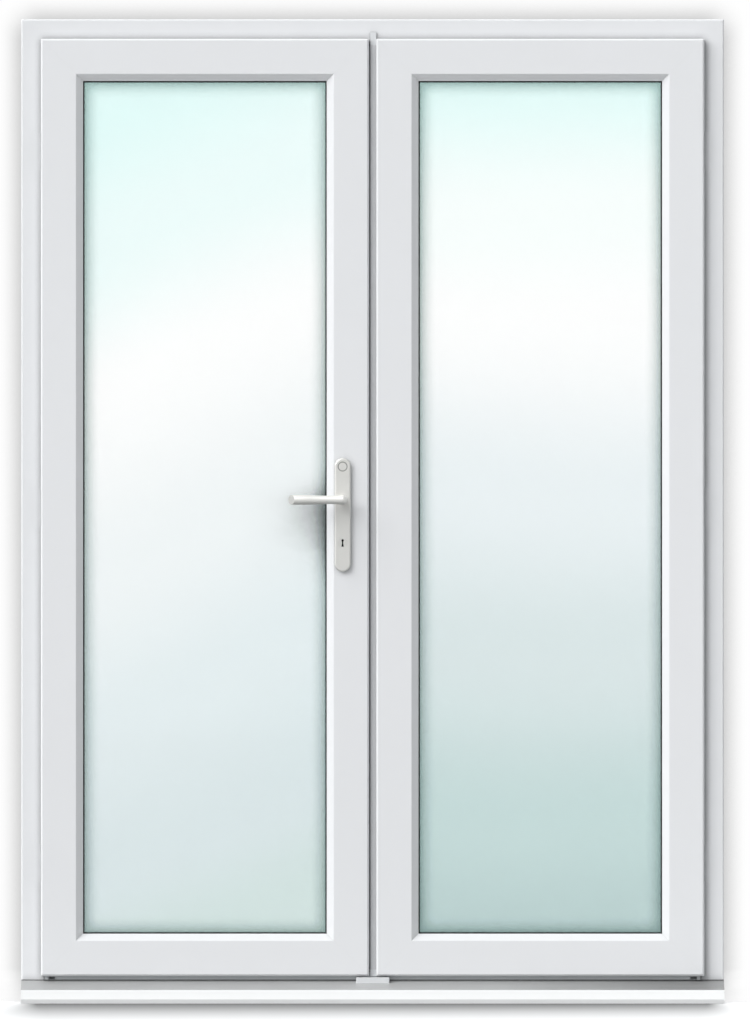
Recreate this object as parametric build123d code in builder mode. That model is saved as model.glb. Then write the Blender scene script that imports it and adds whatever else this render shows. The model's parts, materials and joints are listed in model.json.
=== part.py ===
"""French doors with their frame: two outward-opening PVC leaves hung in one frame on a cill.

Millimetres, +Z up. X runs along the opening, Y into the building, so the outside face looks
along -Y. The origin is at the middle of the width, in the plane of the frame's outside face,
at the underside of the cill.
"""

import os

from build123d import *

os.makedirs("parts", exist_ok=True)

# Whole opening
frame_width = 1500.0
frame_top = 2100.0
profile_depth = 70.0
wall = 3.0

# Cill under the frame
cill_top = 48.5
cill_projection = 80.0
cill_nose_top = 29.0
cill_nose_bottom = 9.0
cill_nose_lip = 9.0
cill_cap = 3.0
cill_web_setback = 38.0
cill_web_inset = 33.0
cill_nose_chamber = 14.0

# Frame profile, measured inwards from the frame's outer edge
frame_face = 50.0
frame_stop = 20.0
stop_front = 53.5
frame_edge_chamfer = 2.5

# Threshold between the jambs
threshold_height = 17.5
threshold_wall = 2.5
threshold_web = 28.0
drain_width = 14.0
drain_height = 6.5
drain_inset = 65.0

# Leaves: the outer face stands proud of the frame and overlaps it all round
leaf_overlap = 8.0
leaf_proud = 20.0
flange = 20.0
face_gap = 4.0
meeting_gap = 16.0
leaf_face = 75.0
bevel_width = 15.0
bevel_depth = 12.0
lip_tip = 5.0
leaf_edge_chamfer = 3.5
leaf_bead_radius = 3.0
leaf_web_depth = 28.0
glass_cover = 15.0
bead_height = 22.0
bead_depth = 20.0

# Glass unit
glass = 4.0
glass_gap = 20.0
gasket = 2.0
inner_gasket = 3.0
spacer_height = 9.0
packer_length = 100.0
packer_inset = 90.0

# Seals
seal_inset = 5.0
seal_width = 3.0
seal_clearance = 0.3
stop_clearance = 0.3

# Steel tubes in the profiles
steel_wall = 1.5
steel_clearance = 0.5
steel_end_gap = 60.0
leaf_steel_end_gap = 100.0

# Hinges hidden in the overlap
hinge_inset = 7.0
hinge_set_back = 9.0
pin_radius = 3.0
pin_clearance = 0.05
knuckle_radius = 5.5
knuckle = 24.0
knuckle_gap = 1.0
hinge_plate = 3.0
hinge_plate_depth = 46.0
hinge_plate_end = 8.0
hinge_end_offset = 240.0
hinge_pocket_lip = 3.0
hinge_pocket_clearance = 2.0

# Meeting stiles and the mullion strip
strip_end_gap = 3.5
strip_nose = 12.0
strip_set_back = 3.0
strip_gap = 4.0
mullion_left = -5.0
mullion_cap = 2.0
tongue_depth = 3.5
tongue_rise = 14.0

# Handle
backset = 55.0
lever_height = 1074.0
key_drop = 92.0
plate_width = 34.0
plate_length = 242.0
plate_thickness = 10.0
plate_edge = 3.0
plate_shell = 4.0
plate_above = 89.0
disc_radius = 10.0
disc_depth = 0.6
disc_drop = 18.0
neck_radius = 9.0
neck_clearance = 0.3
lever_reach = 116.5
lever_stand = 45.0
lever_tall = 21.0
lever_waist = 18.0
lever_swell = 80.0
lever_tip_radius = 9.9
lever_end_cut = 14.0
spindle_size = 8.0
screw_radius = 2.5
screw_head = 4.5
screw_spacing = 215.0

# Lock
case_thickness = 16.0
case_height = 170.0
case_below = 125.0
case_depth_beyond = 16.0
lock_line = 21.0
lock_face_width = 16.0
lock_face_thickness = 2.5
face_end_below = 154.5
face_end_above = 122.5
plug_radius = 10.2
plug_clearance = 0.1
plug_body_radius = 7.0
key_tall = 16.0
key_wide = 5.0
latch_tall = 30.0
latch_width = 10.0
latch_throw = 12.0
latch_tail = 30.0
bolt_rise = 3.0
bolt_tall = 34.0
bolt_tail = 34.0
bolt_throw = 20.0
bolt_sunk = 0.8
bolt_clearance = 0.5
keep_thickness = 2.5
keep_margin = 12.0

# Rods that shoot up and down from the lock
rod_width = 12.0
rod_thickness = 3.0
rod_tip_radius = 4.0
rod_tip_length = 34.0
rod_groove = 7.0

# Flush bolts of the second leaf
flush_bolt_radius = 4.5
flush_bolt_length = 160.0
flush_bore_extra = 30.0
flush_bolt_x = 13.0
keep_hole_clearance = 1.0

# Centre block on the cill
block_left = -35.0
block_right = 36.0
block_front = -26.0
block_top = 55.0

# Fixing holes through the jambs
fixing_radius = 4.0
fixing_outer_spacing = 1300.0
fixing_inner_spacing = 500.0
fixing_middle = 1074.0

# Worked out from the driving sizes
fixing_heights = [
    fixing_middle + sign * spacing / 2
    for spacing in (fixing_outer_spacing, fixing_inner_spacing)
    for sign in (-1, 1)
]
half_width = frame_width / 2
threshold_top = cill_top + threshold_height
leaf_top = frame_top - frame_face + leaf_overlap
leaf_bottom = threshold_top - leaf_overlap
leaf_outer = half_width - frame_face + leaf_overlap
leaf_inner = meeting_gap / 2
leaf_middle = (leaf_top + leaf_bottom) / 2
leaf_front = -leaf_proud
leaf_back = profile_depth - leaf_proud
sight = leaf_face + bevel_width
leaf_steel_front = leaf_back - leaf_web_depth + wall
lip_back = leaf_front + bevel_depth + lip_tip
glass_front = lip_back + gasket
glass_back = glass_front + 2 * glass + glass_gap
glass_edge = sight - glass_cover
rebate_floor = glass_edge - 5.0
bead_front = glass_back + inner_gasket
rebate_line = half_width - frame_face
hinge_y = leaf_front + hinge_set_back
hinge_span = 3 * knuckle + 2 * knuckle_gap
hinge_heights = [leaf_bottom + hinge_end_offset, leaf_middle, leaf_top - hinge_end_offset]
strip_bottom = threshold_top + strip_end_gap
strip_top = frame_top - frame_face - strip_end_gap
strip_right = mullion_left - strip_gap
groove_x = strip_right - strip_set_back
mullion_groove_x = mullion_left + strip_set_back
strip_back_edge = leaf_inner + flange
lever_x = -leaf_inner - backset - 1.0
key_height = lever_height - key_drop
bolt_height = key_height + bolt_rise
plate_bottom = lever_height + plate_above - plate_length
plate_middle = plate_bottom + plate_length / 2
latch_rest_tip = groove_x + lock_face_thickness - bolt_sunk - 0.7 + latch_throw
bolt_rest_tip = groove_x + lock_face_thickness - bolt_sunk


def ring(left, right, bottom, top):
    """A closed upright rectangle in the plane y = 0, from the middle of its left side."""
    start = (left, 0, (bottom + top) / 2)
    with BuildLine() as path:
        Polyline(start, (left, 0, top), (right, 0, top), (right, 0, bottom), (left, 0, bottom), start)
    return path.wires()[0]


def box_between(low, high, mode=Mode.ADD):
    """A box from its lowest corner to its highest one."""
    size = [b - a for a, b in zip(low, high)]
    middle = [(a + b) / 2 for a, b in zip(low, high)]
    with Locations(tuple(middle)):
        Box(*size, mode=mode)


def drill(point, axis, radius, length, mode=Mode.SUBTRACT):
    """A cylinder that starts at a point and runs along an axis."""
    with BuildSketch(Plane(origin=point, z_dir=axis)) as circle:
        Circle(radius)
    extrude(circle.sketch, amount=length, mode=mode)


def save(piece, name):
    """Label a finished piece and write it."""
    piece.part.label = name
    export_step(piece.part, "parts/" + name + ".step")


# Outer frame: two jambs and a head, mitred and welded, standing on the cill
with BuildPart() as outer_frame:
    with BuildSketch(Plane.XY.offset(cill_top)) as frame_section:
        with BuildLine():
            Polyline(
                (-half_width, 0),
                (-half_width + frame_face, 0),
                (-half_width + frame_face, stop_front),
                (-half_width + frame_face + frame_stop, stop_front),
                (-half_width + frame_face + frame_stop, profile_depth),
                (-half_width, profile_depth),
                close=True,
            )
        make_face()
        chamfer(frame_section.vertices().group_by(Axis.Y)[0], frame_edge_chamfer)
        steel_front = 16.0
        steel_back = stop_front - 7.5
        chambers = [
            (wall, frame_face - wall, wall, steel_front - wall),
            (8.0, frame_face - 8.0, steel_front, steel_back),
            (wall, frame_face - wall, steel_back + wall, profile_depth - wall),
            (frame_face, frame_face + frame_stop - wall, stop_front + wall, profile_depth - wall),
        ]
        for near, far, front, back in chambers:
            with Locations((-half_width + (near + far) / 2, (front + back) / 2)):
                Rectangle(far - near, back - front, mode=Mode.SUBTRACT)
    with BuildLine() as frame_path:
        Polyline(
            (-half_width, 0, cill_top),
            (-half_width, 0, frame_top),
            (half_width, 0, frame_top),
            (half_width, 0, cill_top),
        )
    sweep(path=frame_path.wires()[0], transition=Transition.RIGHT)
    # The stops are notched over the threshold's own stop, and the jambs are drilled for fixing
    notch_top = threshold_top + frame_stop
    for side in (-1, 1):
        ends = sorted((side * rebate_line, side * (rebate_line - frame_stop)))
        box_between((ends[0], stop_front, cill_top), (ends[1], profile_depth, notch_top), Mode.SUBTRACT)
        for height in fixing_heights:
            start = (side * half_width, profile_depth / 2, height)
            drill(start, (-side, 0, 0), fixing_radius, frame_face)
    # Holes in the head for the shoot rod and the upper flush bolt
    for hole_x, radius in ((groove_x - rod_groove / 2, rod_tip_radius), (flush_bolt_x, flush_bolt_radius)):
        start = (hole_x, lock_line, frame_top - frame_face)
        drill(start, (0, 0, 1), radius + keep_hole_clearance, frame_face - 8.0)
save(outer_frame, "outer_frame")

# Steel tubes in the jambs and the head
tube_near = 8.0 + steel_clearance
tube_far = frame_face - 8.0 - steel_clearance
tube_front = steel_front + steel_clearance
tube_back = steel_back - steel_clearance


def tube_section(left, right, front, back):
    """A square steel tube's section, drawn in the current sketch."""
    with Locations(((left + right) / 2, (front + back) / 2)):
        Rectangle(right - left, back - front)
        Rectangle(right - left - 2 * steel_wall, back - front - 2 * steel_wall, mode=Mode.SUBTRACT)


with BuildPart() as frame_steels:
    for side in (-1, 1):
        edges = sorted((side * (half_width - tube_near), side * (half_width - tube_far)))
        with BuildSketch(Plane.XY.offset(cill_top)):
            tube_section(edges[0], edges[1], tube_front, tube_back)
        extrude(amount=frame_top - cill_top - steel_end_gap)
        for height in fixing_heights:
            start = (side * half_width, profile_depth / 2, height)
            drill(start, (-side, 0, 0), fixing_radius, frame_face)
    with BuildSketch(Plane.YZ.offset(-half_width + steel_end_gap)):
        with Locations(((tube_front + tube_back) / 2, frame_top - (tube_near + tube_far) / 2)):
            Rectangle(tube_back - tube_front, tube_far - tube_near)
            Rectangle(tube_back - tube_front - 3, tube_far - tube_near - 3, mode=Mode.SUBTRACT)
    extrude(amount=frame_width - 2 * steel_end_gap)
    for hole_x, radius in ((groove_x - rod_groove / 2, rod_tip_radius), (flush_bolt_x, flush_bolt_radius)):
        start = (hole_x, lock_line, frame_top - frame_face)
        drill(start, (0, 0, 1), radius + keep_hole_clearance, frame_face - 8.0)
save(frame_steels, "frame_steels")

# Cill: a hollow sloping board with a drip nose, closed by end caps
with BuildPart() as cill:
    with BuildSketch(Plane.YZ.offset(-half_width + cill_cap)) as cill_section:
        with BuildLine():
            Polyline(
                (profile_depth, 0),
                (profile_depth, cill_top),
                (0, cill_top),
                (-cill_projection, cill_nose_top),
                (-cill_projection, cill_nose_bottom),
                (-cill_projection + cill_nose_lip, 0),
                close=True,
            )
        make_face()
        fillet(cill_section.vertices().group_by(Axis.X)[0], 1.5)
        slope = (cill_top - cill_nose_top) / cill_projection
        nose_web = -cill_projection + cill_nose_chamber
        chamber_ends = [nose_web, -cill_web_setback, 0.0, cill_web_inset, profile_depth]
        for front, back in zip(chamber_ends[:-1], chamber_ends[1:]):
            front_height = min(cill_top, cill_top + slope * front) - wall
            back_height = min(cill_top, cill_top + slope * (back - wall)) - wall
            with BuildLine():
                Polyline(
                    (front, wall),
                    (front, front_height),
                    (back - wall, back_height),
                    (back - wall, wall),
                    close=True,
                )
            make_face(mode=Mode.SUBTRACT)
    extrude(amount=frame_width - 2 * cill_cap)
    drip = (0, -cill_projection + 22.0, 0)
    box_between((-half_width, drip[1], 0), (half_width, drip[1] + 5, 2), Mode.SUBTRACT)
save(cill, "cill")

with BuildPart() as cill_end_caps:
    for start in (-half_width, half_width - cill_cap):
        with BuildSketch(Plane.YZ.offset(start)) as cap_section:
            with BuildLine():
                Polyline(
                    (profile_depth, 0),
                    (profile_depth, cill_top),
                    (0, cill_top),
                    (-cill_projection, cill_nose_top),
                    (-cill_projection, cill_nose_bottom),
                    (-cill_projection + cill_nose_lip, 0),
                    close=True,
                )
            make_face()
            fillet(cap_section.vertices().group_by(Axis.X)[0], 1.5)
        extrude(amount=cill_cap)
save(cill_end_caps, "cill_end_caps")

# Threshold: a low hollow aluminium section between the jambs, with drain slots in its face
with BuildPart() as threshold:
    with BuildSketch(Plane.YZ.offset(-rebate_line)) as threshold_section:
        with BuildLine():
            Polyline(
                (0, cill_top),
                (0, threshold_top),
                (stop_front, threshold_top),
                (stop_front, threshold_top + frame_stop),
                (profile_depth, threshold_top + frame_stop),
                (profile_depth, cill_top),
                close=True,
            )
        make_face()
        fillet(threshold_section.vertices().group_by(Axis.Y)[-1], 1.5)
        for front, back, top in (
            (threshold_wall, threshold_web, threshold_top),
            (threshold_web + threshold_wall, stop_front - threshold_wall, threshold_top),
            (stop_front, profile_depth, threshold_top + frame_stop),
        ):
            near = front + (threshold_wall if front == stop_front else 0)
            far = back - (threshold_wall if back == profile_depth else 0)
            low = cill_top + threshold_wall
            with Locations(((near + far) / 2, (low + top - threshold_wall) / 2)):
                Rectangle(far - near, top - threshold_wall - low, mode=Mode.SUBTRACT)
    extrude(amount=2 * rebate_line)
    for side in (-1, 1):
        middle = side * (half_width - drain_inset)
        low = (middle - drain_width / 2, 0, cill_top + 1.0)
        high = (middle + drain_width / 2, threshold_wall, cill_top + 1.0 + drain_height)
        box_between(low, high, Mode.SUBTRACT)
    for hole_x, radius in ((groove_x - rod_groove / 2, rod_tip_radius), (flush_bolt_x, flush_bolt_radius)):
        start = (hole_x, lock_line, threshold_top)
        drill(start, (0, 0, -1), radius + keep_hole_clearance, threshold_height + 12.0)
save(threshold, "threshold")

# Gasket on the stops, where the backs of the leaves close
gasket_front = leaf_back + stop_clearance
with BuildPart() as frame_gasket:
    gasket_near = rebate_line - 10.0
    with BuildSketch(Plane.XY.offset(leaf_middle)) as gasket_section:
        with BuildLine():
            Polyline(
                (-gasket_near, stop_front),
                (-gasket_near, gasket_front + 1),
                (-gasket_near + 2.0, gasket_front),
                (-gasket_near + 5.0, gasket_front),
                (-gasket_near + 6.5, stop_front),
                close=True,
            )
        make_face()
    sweep(
        path=ring(-gasket_near, gasket_near, threshold_top + 10.0, frame_top - frame_face - 10.0),
        transition=Transition.RIGHT,
    )
save(frame_gasket, "frame_gasket")

# Centre block on the cill, under the meeting stiles
with BuildPart() as meeting_block:
    block_back = -0.5
    with BuildSketch(Plane.YZ.offset(block_left)) as block_section:
        with BuildLine():
            Polyline(
                (block_back, cill_top + slope * block_back),
                (block_front, cill_top + slope * block_front),
                (block_front, block_top),
                (block_back, block_top),
                close=True,
            )
        make_face()
    extrude(amount=block_right - block_left)
    upright = meeting_block.edges().filter_by(Axis.Z).group_by(Axis.Y)[0]
    fillet(upright, 2.0)
    fillet(meeting_block.edges().group_by(Axis.Z)[-1].group_by(Axis.Y)[0], 1.0)
save(meeting_block, "meeting_block")


def leaf_section(outer, sense):
    """The leaf profile's section, sense +1 when the leaf lies on the +X side of its outer edge."""
    def at(u):
        return outer + sense * u

    with BuildSketch(Plane.XY.offset(leaf_middle)) as section:
        with BuildLine():
            Polyline(
                (at(0), leaf_front),
                (at(leaf_face), leaf_front),
                (at(sight), leaf_front + bevel_depth),
                (at(sight), lip_back),
                (at(rebate_floor), lip_back),
                (at(rebate_floor), leaf_back),
                (at(flange), leaf_back),
                (at(flange), -face_gap),
                (at(0), -face_gap),
                close=True,
            )
        make_face()
        outer_corner = section.vertices().sort_by_distance((at(0), leaf_front, leaf_middle))[0]
        chamfer(outer_corner, leaf_edge_chamfer)
        bevel_corner = section.vertices().sort_by_distance((at(leaf_face), leaf_front, leaf_middle))[0]
        fillet(bevel_corner, leaf_bead_radius)
        leaf_chambers = [
            (flange + wall, rebate_floor + 2.0, leaf_front + wall, -face_gap - wall),
            (flange + wall, rebate_floor - wall, -face_gap, leaf_back - leaf_web_depth),
            (flange + wall, rebate_floor - wall, leaf_steel_front, leaf_back - wall),
        ]
        for near, far, front, back in leaf_chambers:
            with Locations((at((near + far) / 2), (front + back) / 2)):
                Rectangle(far - near, back - front, mode=Mode.SUBTRACT)
    return section.sketch


steel_leaf_near = flange + wall + steel_clearance
steel_leaf_far = rebate_floor - wall - steel_clearance
steel_leaf_front = leaf_steel_front + steel_clearance
steel_leaf_back = leaf_back - wall - steel_clearance


def spindle_and_case_cuts():
    """The cuts that the handle, the key and the lock case need in the lock stile."""
    drill((lever_x, leaf_front, lever_height), (0, 1, 0), neck_radius + 1.0, profile_depth)
    drill((lever_x, leaf_front, key_height), (0, 1, 0), plug_radius + 0.3, profile_depth)
    for end in (-1, 1):
        height = plate_middle + end * screw_spacing / 2
        drill((lever_x, leaf_front, height), (0, 1, 0), screw_radius + 0.5, profile_depth)
    low = (lever_x - case_depth_beyond - 0.5, case_front - 0.5, case_bottom - 0.5)
    high = (groove_x, case_back + 0.5, case_top + 0.5)
    box_between(low, high, Mode.SUBTRACT)


case_front = lock_line - case_thickness / 2
case_back = lock_line + case_thickness / 2
case_bottom = lever_height - case_below
case_top = case_bottom + case_height


def make_leaf(name, outer, inner):
    """All pieces that both leaves have: profiles, steels, glass unit, beads, seals and hinge plates."""
    sense = 1 if inner > outer else -1
    has_lock = sense > 0

    def at(u):
        return outer + sense * u

    def across(inset):
        """Path round the leaf at an inset from its edges, starting on the hinge side."""
        far = inner - sense * inset
        return ring(outer + sense * inset, far, leaf_bottom + inset, leaf_top - inset)

    with BuildPart() as leaf_frame:
        sweep(leaf_section(outer, sense), path=across(0), transition=Transition.RIGHT)
        for height in hinge_heights:
            half = hinge_span / 2 + hinge_pocket_clearance
            ends = sorted((at(-1), at(flange)))
            low = (ends[0], leaf_front + hinge_pocket_lip, height - half)
            high = (ends[1], -face_gap + 1, height + half)
            box_between(low, high, Mode.SUBTRACT)
        if has_lock:
            spindle_and_case_cuts()
    save(leaf_frame, name + "_leaf_frame")

    # Steel tubes: one to each side of the leaf, cut short of the welded corners
    with BuildPart() as leaf_steels:
        for stile in (at(0), inner):
            stile_sense = sense if stile == at(0) else -sense
            edges = sorted((stile + stile_sense * steel_leaf_near, stile + stile_sense * steel_leaf_far))
            with BuildSketch(Plane.XY.offset(leaf_bottom + leaf_steel_end_gap)):
                tube_section(edges[0], edges[1], steel_leaf_front, steel_leaf_back)
            extrude(amount=leaf_top - leaf_bottom - 2 * leaf_steel_end_gap)
        for rail, rail_sense in ((leaf_bottom, 1), (leaf_top, -1)):
            middle = rail + rail_sense * (steel_leaf_near + steel_leaf_far) / 2
            height = steel_leaf_far - steel_leaf_near
            depth = steel_leaf_back - steel_leaf_front
            with BuildSketch(Plane.YZ.offset(min(outer, inner) + leaf_steel_end_gap)):
                with Locations(((steel_leaf_front + steel_leaf_back) / 2, middle)):
                    Rectangle(depth, height)
                    Rectangle(depth - 2 * steel_wall, height - 2 * steel_wall, mode=Mode.SUBTRACT)
            extrude(amount=abs(outer - inner) - 2 * leaf_steel_end_gap)
        if has_lock:
            # The lock stile's tube stops above and below the lock, and the plate's screws pass it
            low = (-leaf_inner - leaf_face, leaf_front, case_bottom - 0.5)
            box_between(low, (-leaf_inner, leaf_back, case_top + 0.5), Mode.SUBTRACT)
            for end in (-1, 1):
                height = plate_middle + end * screw_spacing / 2
                drill((lever_x, leaf_front, height), (0, 1, 0), screw_radius + 0.5, profile_depth)
    save(leaf_steels, name + "_leaf_steels")

    # Sealed glass unit: two panes and the spacer bar between them
    left = min(outer, inner) + glass_edge
    right = max(outer, inner) - glass_edge
    for pane, front in (("outer_pane", glass_front), ("inner_pane", glass_back - glass)):
        with BuildPart() as pane_part:
            low = (left, front, leaf_bottom + glass_edge)
            box_between(low, (right, front + glass, leaf_top - glass_edge))
        save(pane_part, name + "_" + pane)
    with BuildPart() as spacer_bar:
        spacer_inset = glass_edge + 5.0
        with BuildSketch(Plane.XY.offset(leaf_middle)):
            spacer_middle = at(spacer_inset + spacer_height / 2)
            with Locations((spacer_middle, (glass_front + glass_back) / 2)):
                Rectangle(spacer_height, glass_gap)
                Rectangle(spacer_height - 2, glass_gap - 2, mode=Mode.SUBTRACT)
        sweep(path=across(spacer_inset), transition=Transition.RIGHT)
    save(spacer_bar, name + "_spacer_bar")

    # Black gasket between the lip and the glass, showing as a thin line round the sight size
    with BuildPart() as glass_gasket:
        with BuildSketch(Plane.XY.offset(leaf_middle)):
            with BuildLine():
                Polyline(
                    (at(sight - 8.0), lip_back),
                    (at(sight), lip_back),
                    (at(sight + 2.5), lip_back + 0.4),
                    (at(sight + 2.5), glass_front),
                    (at(sight - 8.0), glass_front),
                    close=True,
                )
            make_face()
        sweep(path=across(sight - 8.0), transition=Transition.RIGHT)
    save(glass_gasket, name + "_glass_gasket")

    # Mitred beads snapped in behind the glass, with their gasket
    with BuildPart() as bead_gasket:
        with BuildSketch(Plane.XY.offset(leaf_middle)):
            with BuildLine():
                Polyline(
                    (at(sight - 9.0), glass_back),
                    (at(sight + 2.5), glass_back),
                    (at(sight + 1.0), bead_front),
                    (at(sight - 9.0), bead_front),
                    close=True,
                )
            make_face()
        sweep(path=across(sight - 9.0), transition=Transition.RIGHT)
    save(bead_gasket, name + "_bead_gasket")
    with BuildPart() as glazing_beads:
        with BuildSketch(Plane.XY.offset(leaf_middle)) as bead_section:
            with BuildLine():
                Polyline(
                    (at(rebate_floor), bead_front),
                    (at(rebate_floor + bead_height), bead_front),
                    (at(rebate_floor + bead_height), bead_front + 6.0),
                    (at(rebate_floor + 9.0), bead_front + bead_depth),
                    (at(rebate_floor), bead_front + bead_depth),
                    close=True,
                )
            make_face()
            soft = bead_section.vertices().sort_by_distance(
                (at(rebate_floor + bead_height), bead_front + 6.0, leaf_middle)
            )[0]
            fillet(soft, 3.0)
            with Locations((at(rebate_floor + 7.0), bead_front + 6.0)):
                Rectangle(9.0, 7.0, mode=Mode.SUBTRACT)
        sweep(path=across(rebate_floor), transition=Transition.RIGHT)
    save(glazing_beads, name + "_glazing_beads")

    # Packers that carry the glass and brace it in the leaf
    with BuildPart() as glazing_packers:
        for end in (left + packer_inset, right - packer_inset):
            for low, high in (
                (leaf_bottom + rebate_floor, leaf_bottom + glass_edge),
                (leaf_top - glass_edge, leaf_top - rebate_floor),
            ):
                start = (end - packer_length / 2, glass_front, low)
                box_between(start, (end + packer_length / 2, glass_back, high))
        for stile_low in (min(outer, inner) + rebate_floor, right):
            for height in (leaf_bottom + 2.5 * packer_inset, leaf_top - 2.5 * packer_inset):
                start = (stile_low, glass_front, height - packer_length / 2)
                end = (stile_low + glass_edge - rebate_floor, glass_back, height + packer_length / 2)
                box_between(start, end)
    save(glazing_packers, name + "_glazing_packers")

    # Weatherseal on the back of the overlap: both rails and the hinge stile, cut at the hinges
    with BuildPart() as weatherseal:
        meeting_end = inner - sense * flange
        start = (meeting_end, 0, leaf_bottom + seal_inset)
        with BuildLine() as seal_path:
            Polyline(
                start,
                (at(seal_inset), 0, leaf_bottom + seal_inset),
                (at(seal_inset), 0, leaf_top - seal_inset),
                (meeting_end, 0, leaf_top - seal_inset),
            )
        low_rail = leaf_bottom + seal_inset
        with BuildSketch(Plane.YZ.offset(meeting_end)):
            with BuildLine():
                Polyline(
                    (-face_gap, low_rail),
                    (-seal_clearance - 1.0, low_rail),
                    (-seal_clearance, low_rail + 1.0),
                    (-seal_clearance, low_rail + 2.0),
                    (-seal_clearance - 1.0, low_rail + seal_width),
                    (-face_gap, low_rail + seal_width),
                    close=True,
                )
            make_face()
        sweep(path=seal_path.wires()[0], transition=Transition.RIGHT)
        for height in hinge_heights:
            half = hinge_span / 2 + hinge_pocket_clearance + 1
            ends = sorted((at(0), at(flange)))
            box_between((ends[0], -face_gap, height - half), (ends[1], 0, height + half), Mode.SUBTRACT)
    save(weatherseal, name + "_weatherseal")

    # Hinges: three knuckles on one pin, the middle one on the jamb and the outer two on the leaf
    pin_x = at(hinge_inset)
    jamb_face = at(leaf_overlap)
    body_face = at(flange)
    with BuildPart() as jamb_plates:
        for height in hinge_heights:
            ends = sorted((jamb_face, jamb_face + sense * hinge_plate))
            plate_low = height - hinge_span / 2 - hinge_plate_end
            plate_high = height + hinge_span / 2 + hinge_plate_end
            box_between((ends[0], 2.0, plate_low), (ends[1], hinge_plate_depth, plate_high))
            middle_low = height - knuckle / 2
            box_between((ends[0], hinge_y, middle_low), (ends[1], 2.0, middle_low + knuckle))
            drill((pin_x, hinge_y, middle_low), (0, 0, 1), knuckle_radius, knuckle, Mode.ADD)
            drill((pin_x, hinge_y, middle_low), (0, 0, 1), pin_radius + pin_clearance, knuckle)
    save(jamb_plates, name + "_hinge_jamb_plates")
    with BuildPart() as leaf_plates:
        for height in hinge_heights:
            ends = sorted((body_face, body_face - sense * hinge_plate))
            plate_low = height - hinge_span / 2
            plate_back = hinge_plate_depth - 10.0
            box_between((ends[0], hinge_y - 3.0, plate_low), (ends[1], plate_back, plate_low + hinge_span))
            for low in (plate_low, plate_low + hinge_span - knuckle):
                arm = sorted((pin_x, body_face))
                box_between((arm[0], hinge_y - 3.0, low), (arm[1], hinge_y + 3.0, low + knuckle))
                drill((pin_x, hinge_y, low), (0, 0, 1), knuckle_radius, knuckle, Mode.ADD)
                drill((pin_x, hinge_y, low), (0, 0, 1), pin_radius + pin_clearance, knuckle)
    save(leaf_plates, name + "_hinge_leaf_plates")
    with BuildPart() as hinge_pins:
        for height in hinge_heights:
            low = height - hinge_span / 2
            drill((pin_x, hinge_y, low - 1.0), (0, 0, 1), pin_radius, hinge_span + 1.0, Mode.ADD)
    save(hinge_pins, name + "_hinge_pins")


make_leaf("left", -leaf_outer, -leaf_inner)
make_leaf("right", leaf_outer, leaf_inner)

# Meeting strip on the lock stile: a nose at the front and a stepped groove for the lock's face
with BuildPart() as left_meeting_strip:
    with BuildSketch(Plane.XY.offset(strip_bottom)) as strip_section:
        with BuildLine():
            Polyline(
                (-strip_back_edge, -face_gap),
                (strip_right, -face_gap),
                (strip_right, -face_gap + strip_nose),
                (groove_x, -face_gap + strip_nose),
                (groove_x, leaf_back),
                (-strip_back_edge, leaf_back),
                close=True,
            )
        make_face()
        with Locations((-strip_back_edge + 8.0, lock_line - 16.0)):
            Rectangle(9.0, 12.0, mode=Mode.SUBTRACT)
        with Locations((-strip_back_edge + 8.0, leaf_back - 10.0)):
            Rectangle(9.0, 14.0, mode=Mode.SUBTRACT)
        with Locations((groove_x - rod_groove / 2, lock_line)):
            Rectangle(rod_groove, rod_width + 1.0, mode=Mode.SUBTRACT)
    extrude(amount=strip_top - strip_bottom)
    low = (-strip_back_edge, case_front - 0.5, case_bottom - 0.5)
    box_between(low, (groove_x, case_back + 0.5, case_top + 0.5), Mode.SUBTRACT)
save(left_meeting_strip, "left_meeting_strip")

# Faceplate of the lock, lying in the stepped groove
with BuildPart() as lock_faceplate:
    half = lock_face_width / 2
    low = (groove_x, lock_line - half, strip_bottom + face_end_below)
    high = (groove_x + lock_face_thickness, lock_line + half, strip_top - face_end_above)
    box_between(low, high)
    fillet(lock_faceplate.edges().filter_by(Axis.X), 3.0)
    for height, tall in ((lever_height, latch_tall), (bolt_height, bolt_tall)):
        span = tall / 2 + bolt_clearance
        broad = latch_width / 2 + bolt_clearance
        low = (groove_x, lock_line - broad, height - span)
        box_between(low, (groove_x + lock_face_thickness, lock_line + broad, height + span), Mode.SUBTRACT)
save(lock_faceplate, "lock_faceplate")

# Lock case: a closed steel box with channels for the latch, the deadbolt and the rods
case_left = lever_x - case_depth_beyond
with BuildPart() as lock_case:
    box_between((case_left, case_front, case_bottom), (groove_x, case_back, case_top))
    inner_wall = 1.5
    low = (case_left + inner_wall, case_front + inner_wall, case_bottom + inner_wall)
    high = (groove_x, case_back - inner_wall, case_top - inner_wall)
    box_between(low, high, Mode.SUBTRACT)
    drill((lever_x, case_front, lever_height), (0, 1, 0), neck_radius, case_thickness)
    drill((lever_x, case_front, key_height), (0, 1, 0), plug_radius + 0.3, case_thickness)
    for end in (-1, 1):
        height = plate_middle + end * screw_spacing / 2
        drill((lever_x, case_front, height), (0, 1, 0), screw_radius + 0.5, case_thickness)
    groove_low = (groove_x - rod_groove, lock_line - rod_width / 2 - 0.5, case_bottom)
    groove_high = (groove_x, lock_line + rod_width / 2 + 0.5, case_top)
    box_between(groove_low, groove_high, Mode.SUBTRACT)
save(lock_case, "lock_case")

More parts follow.
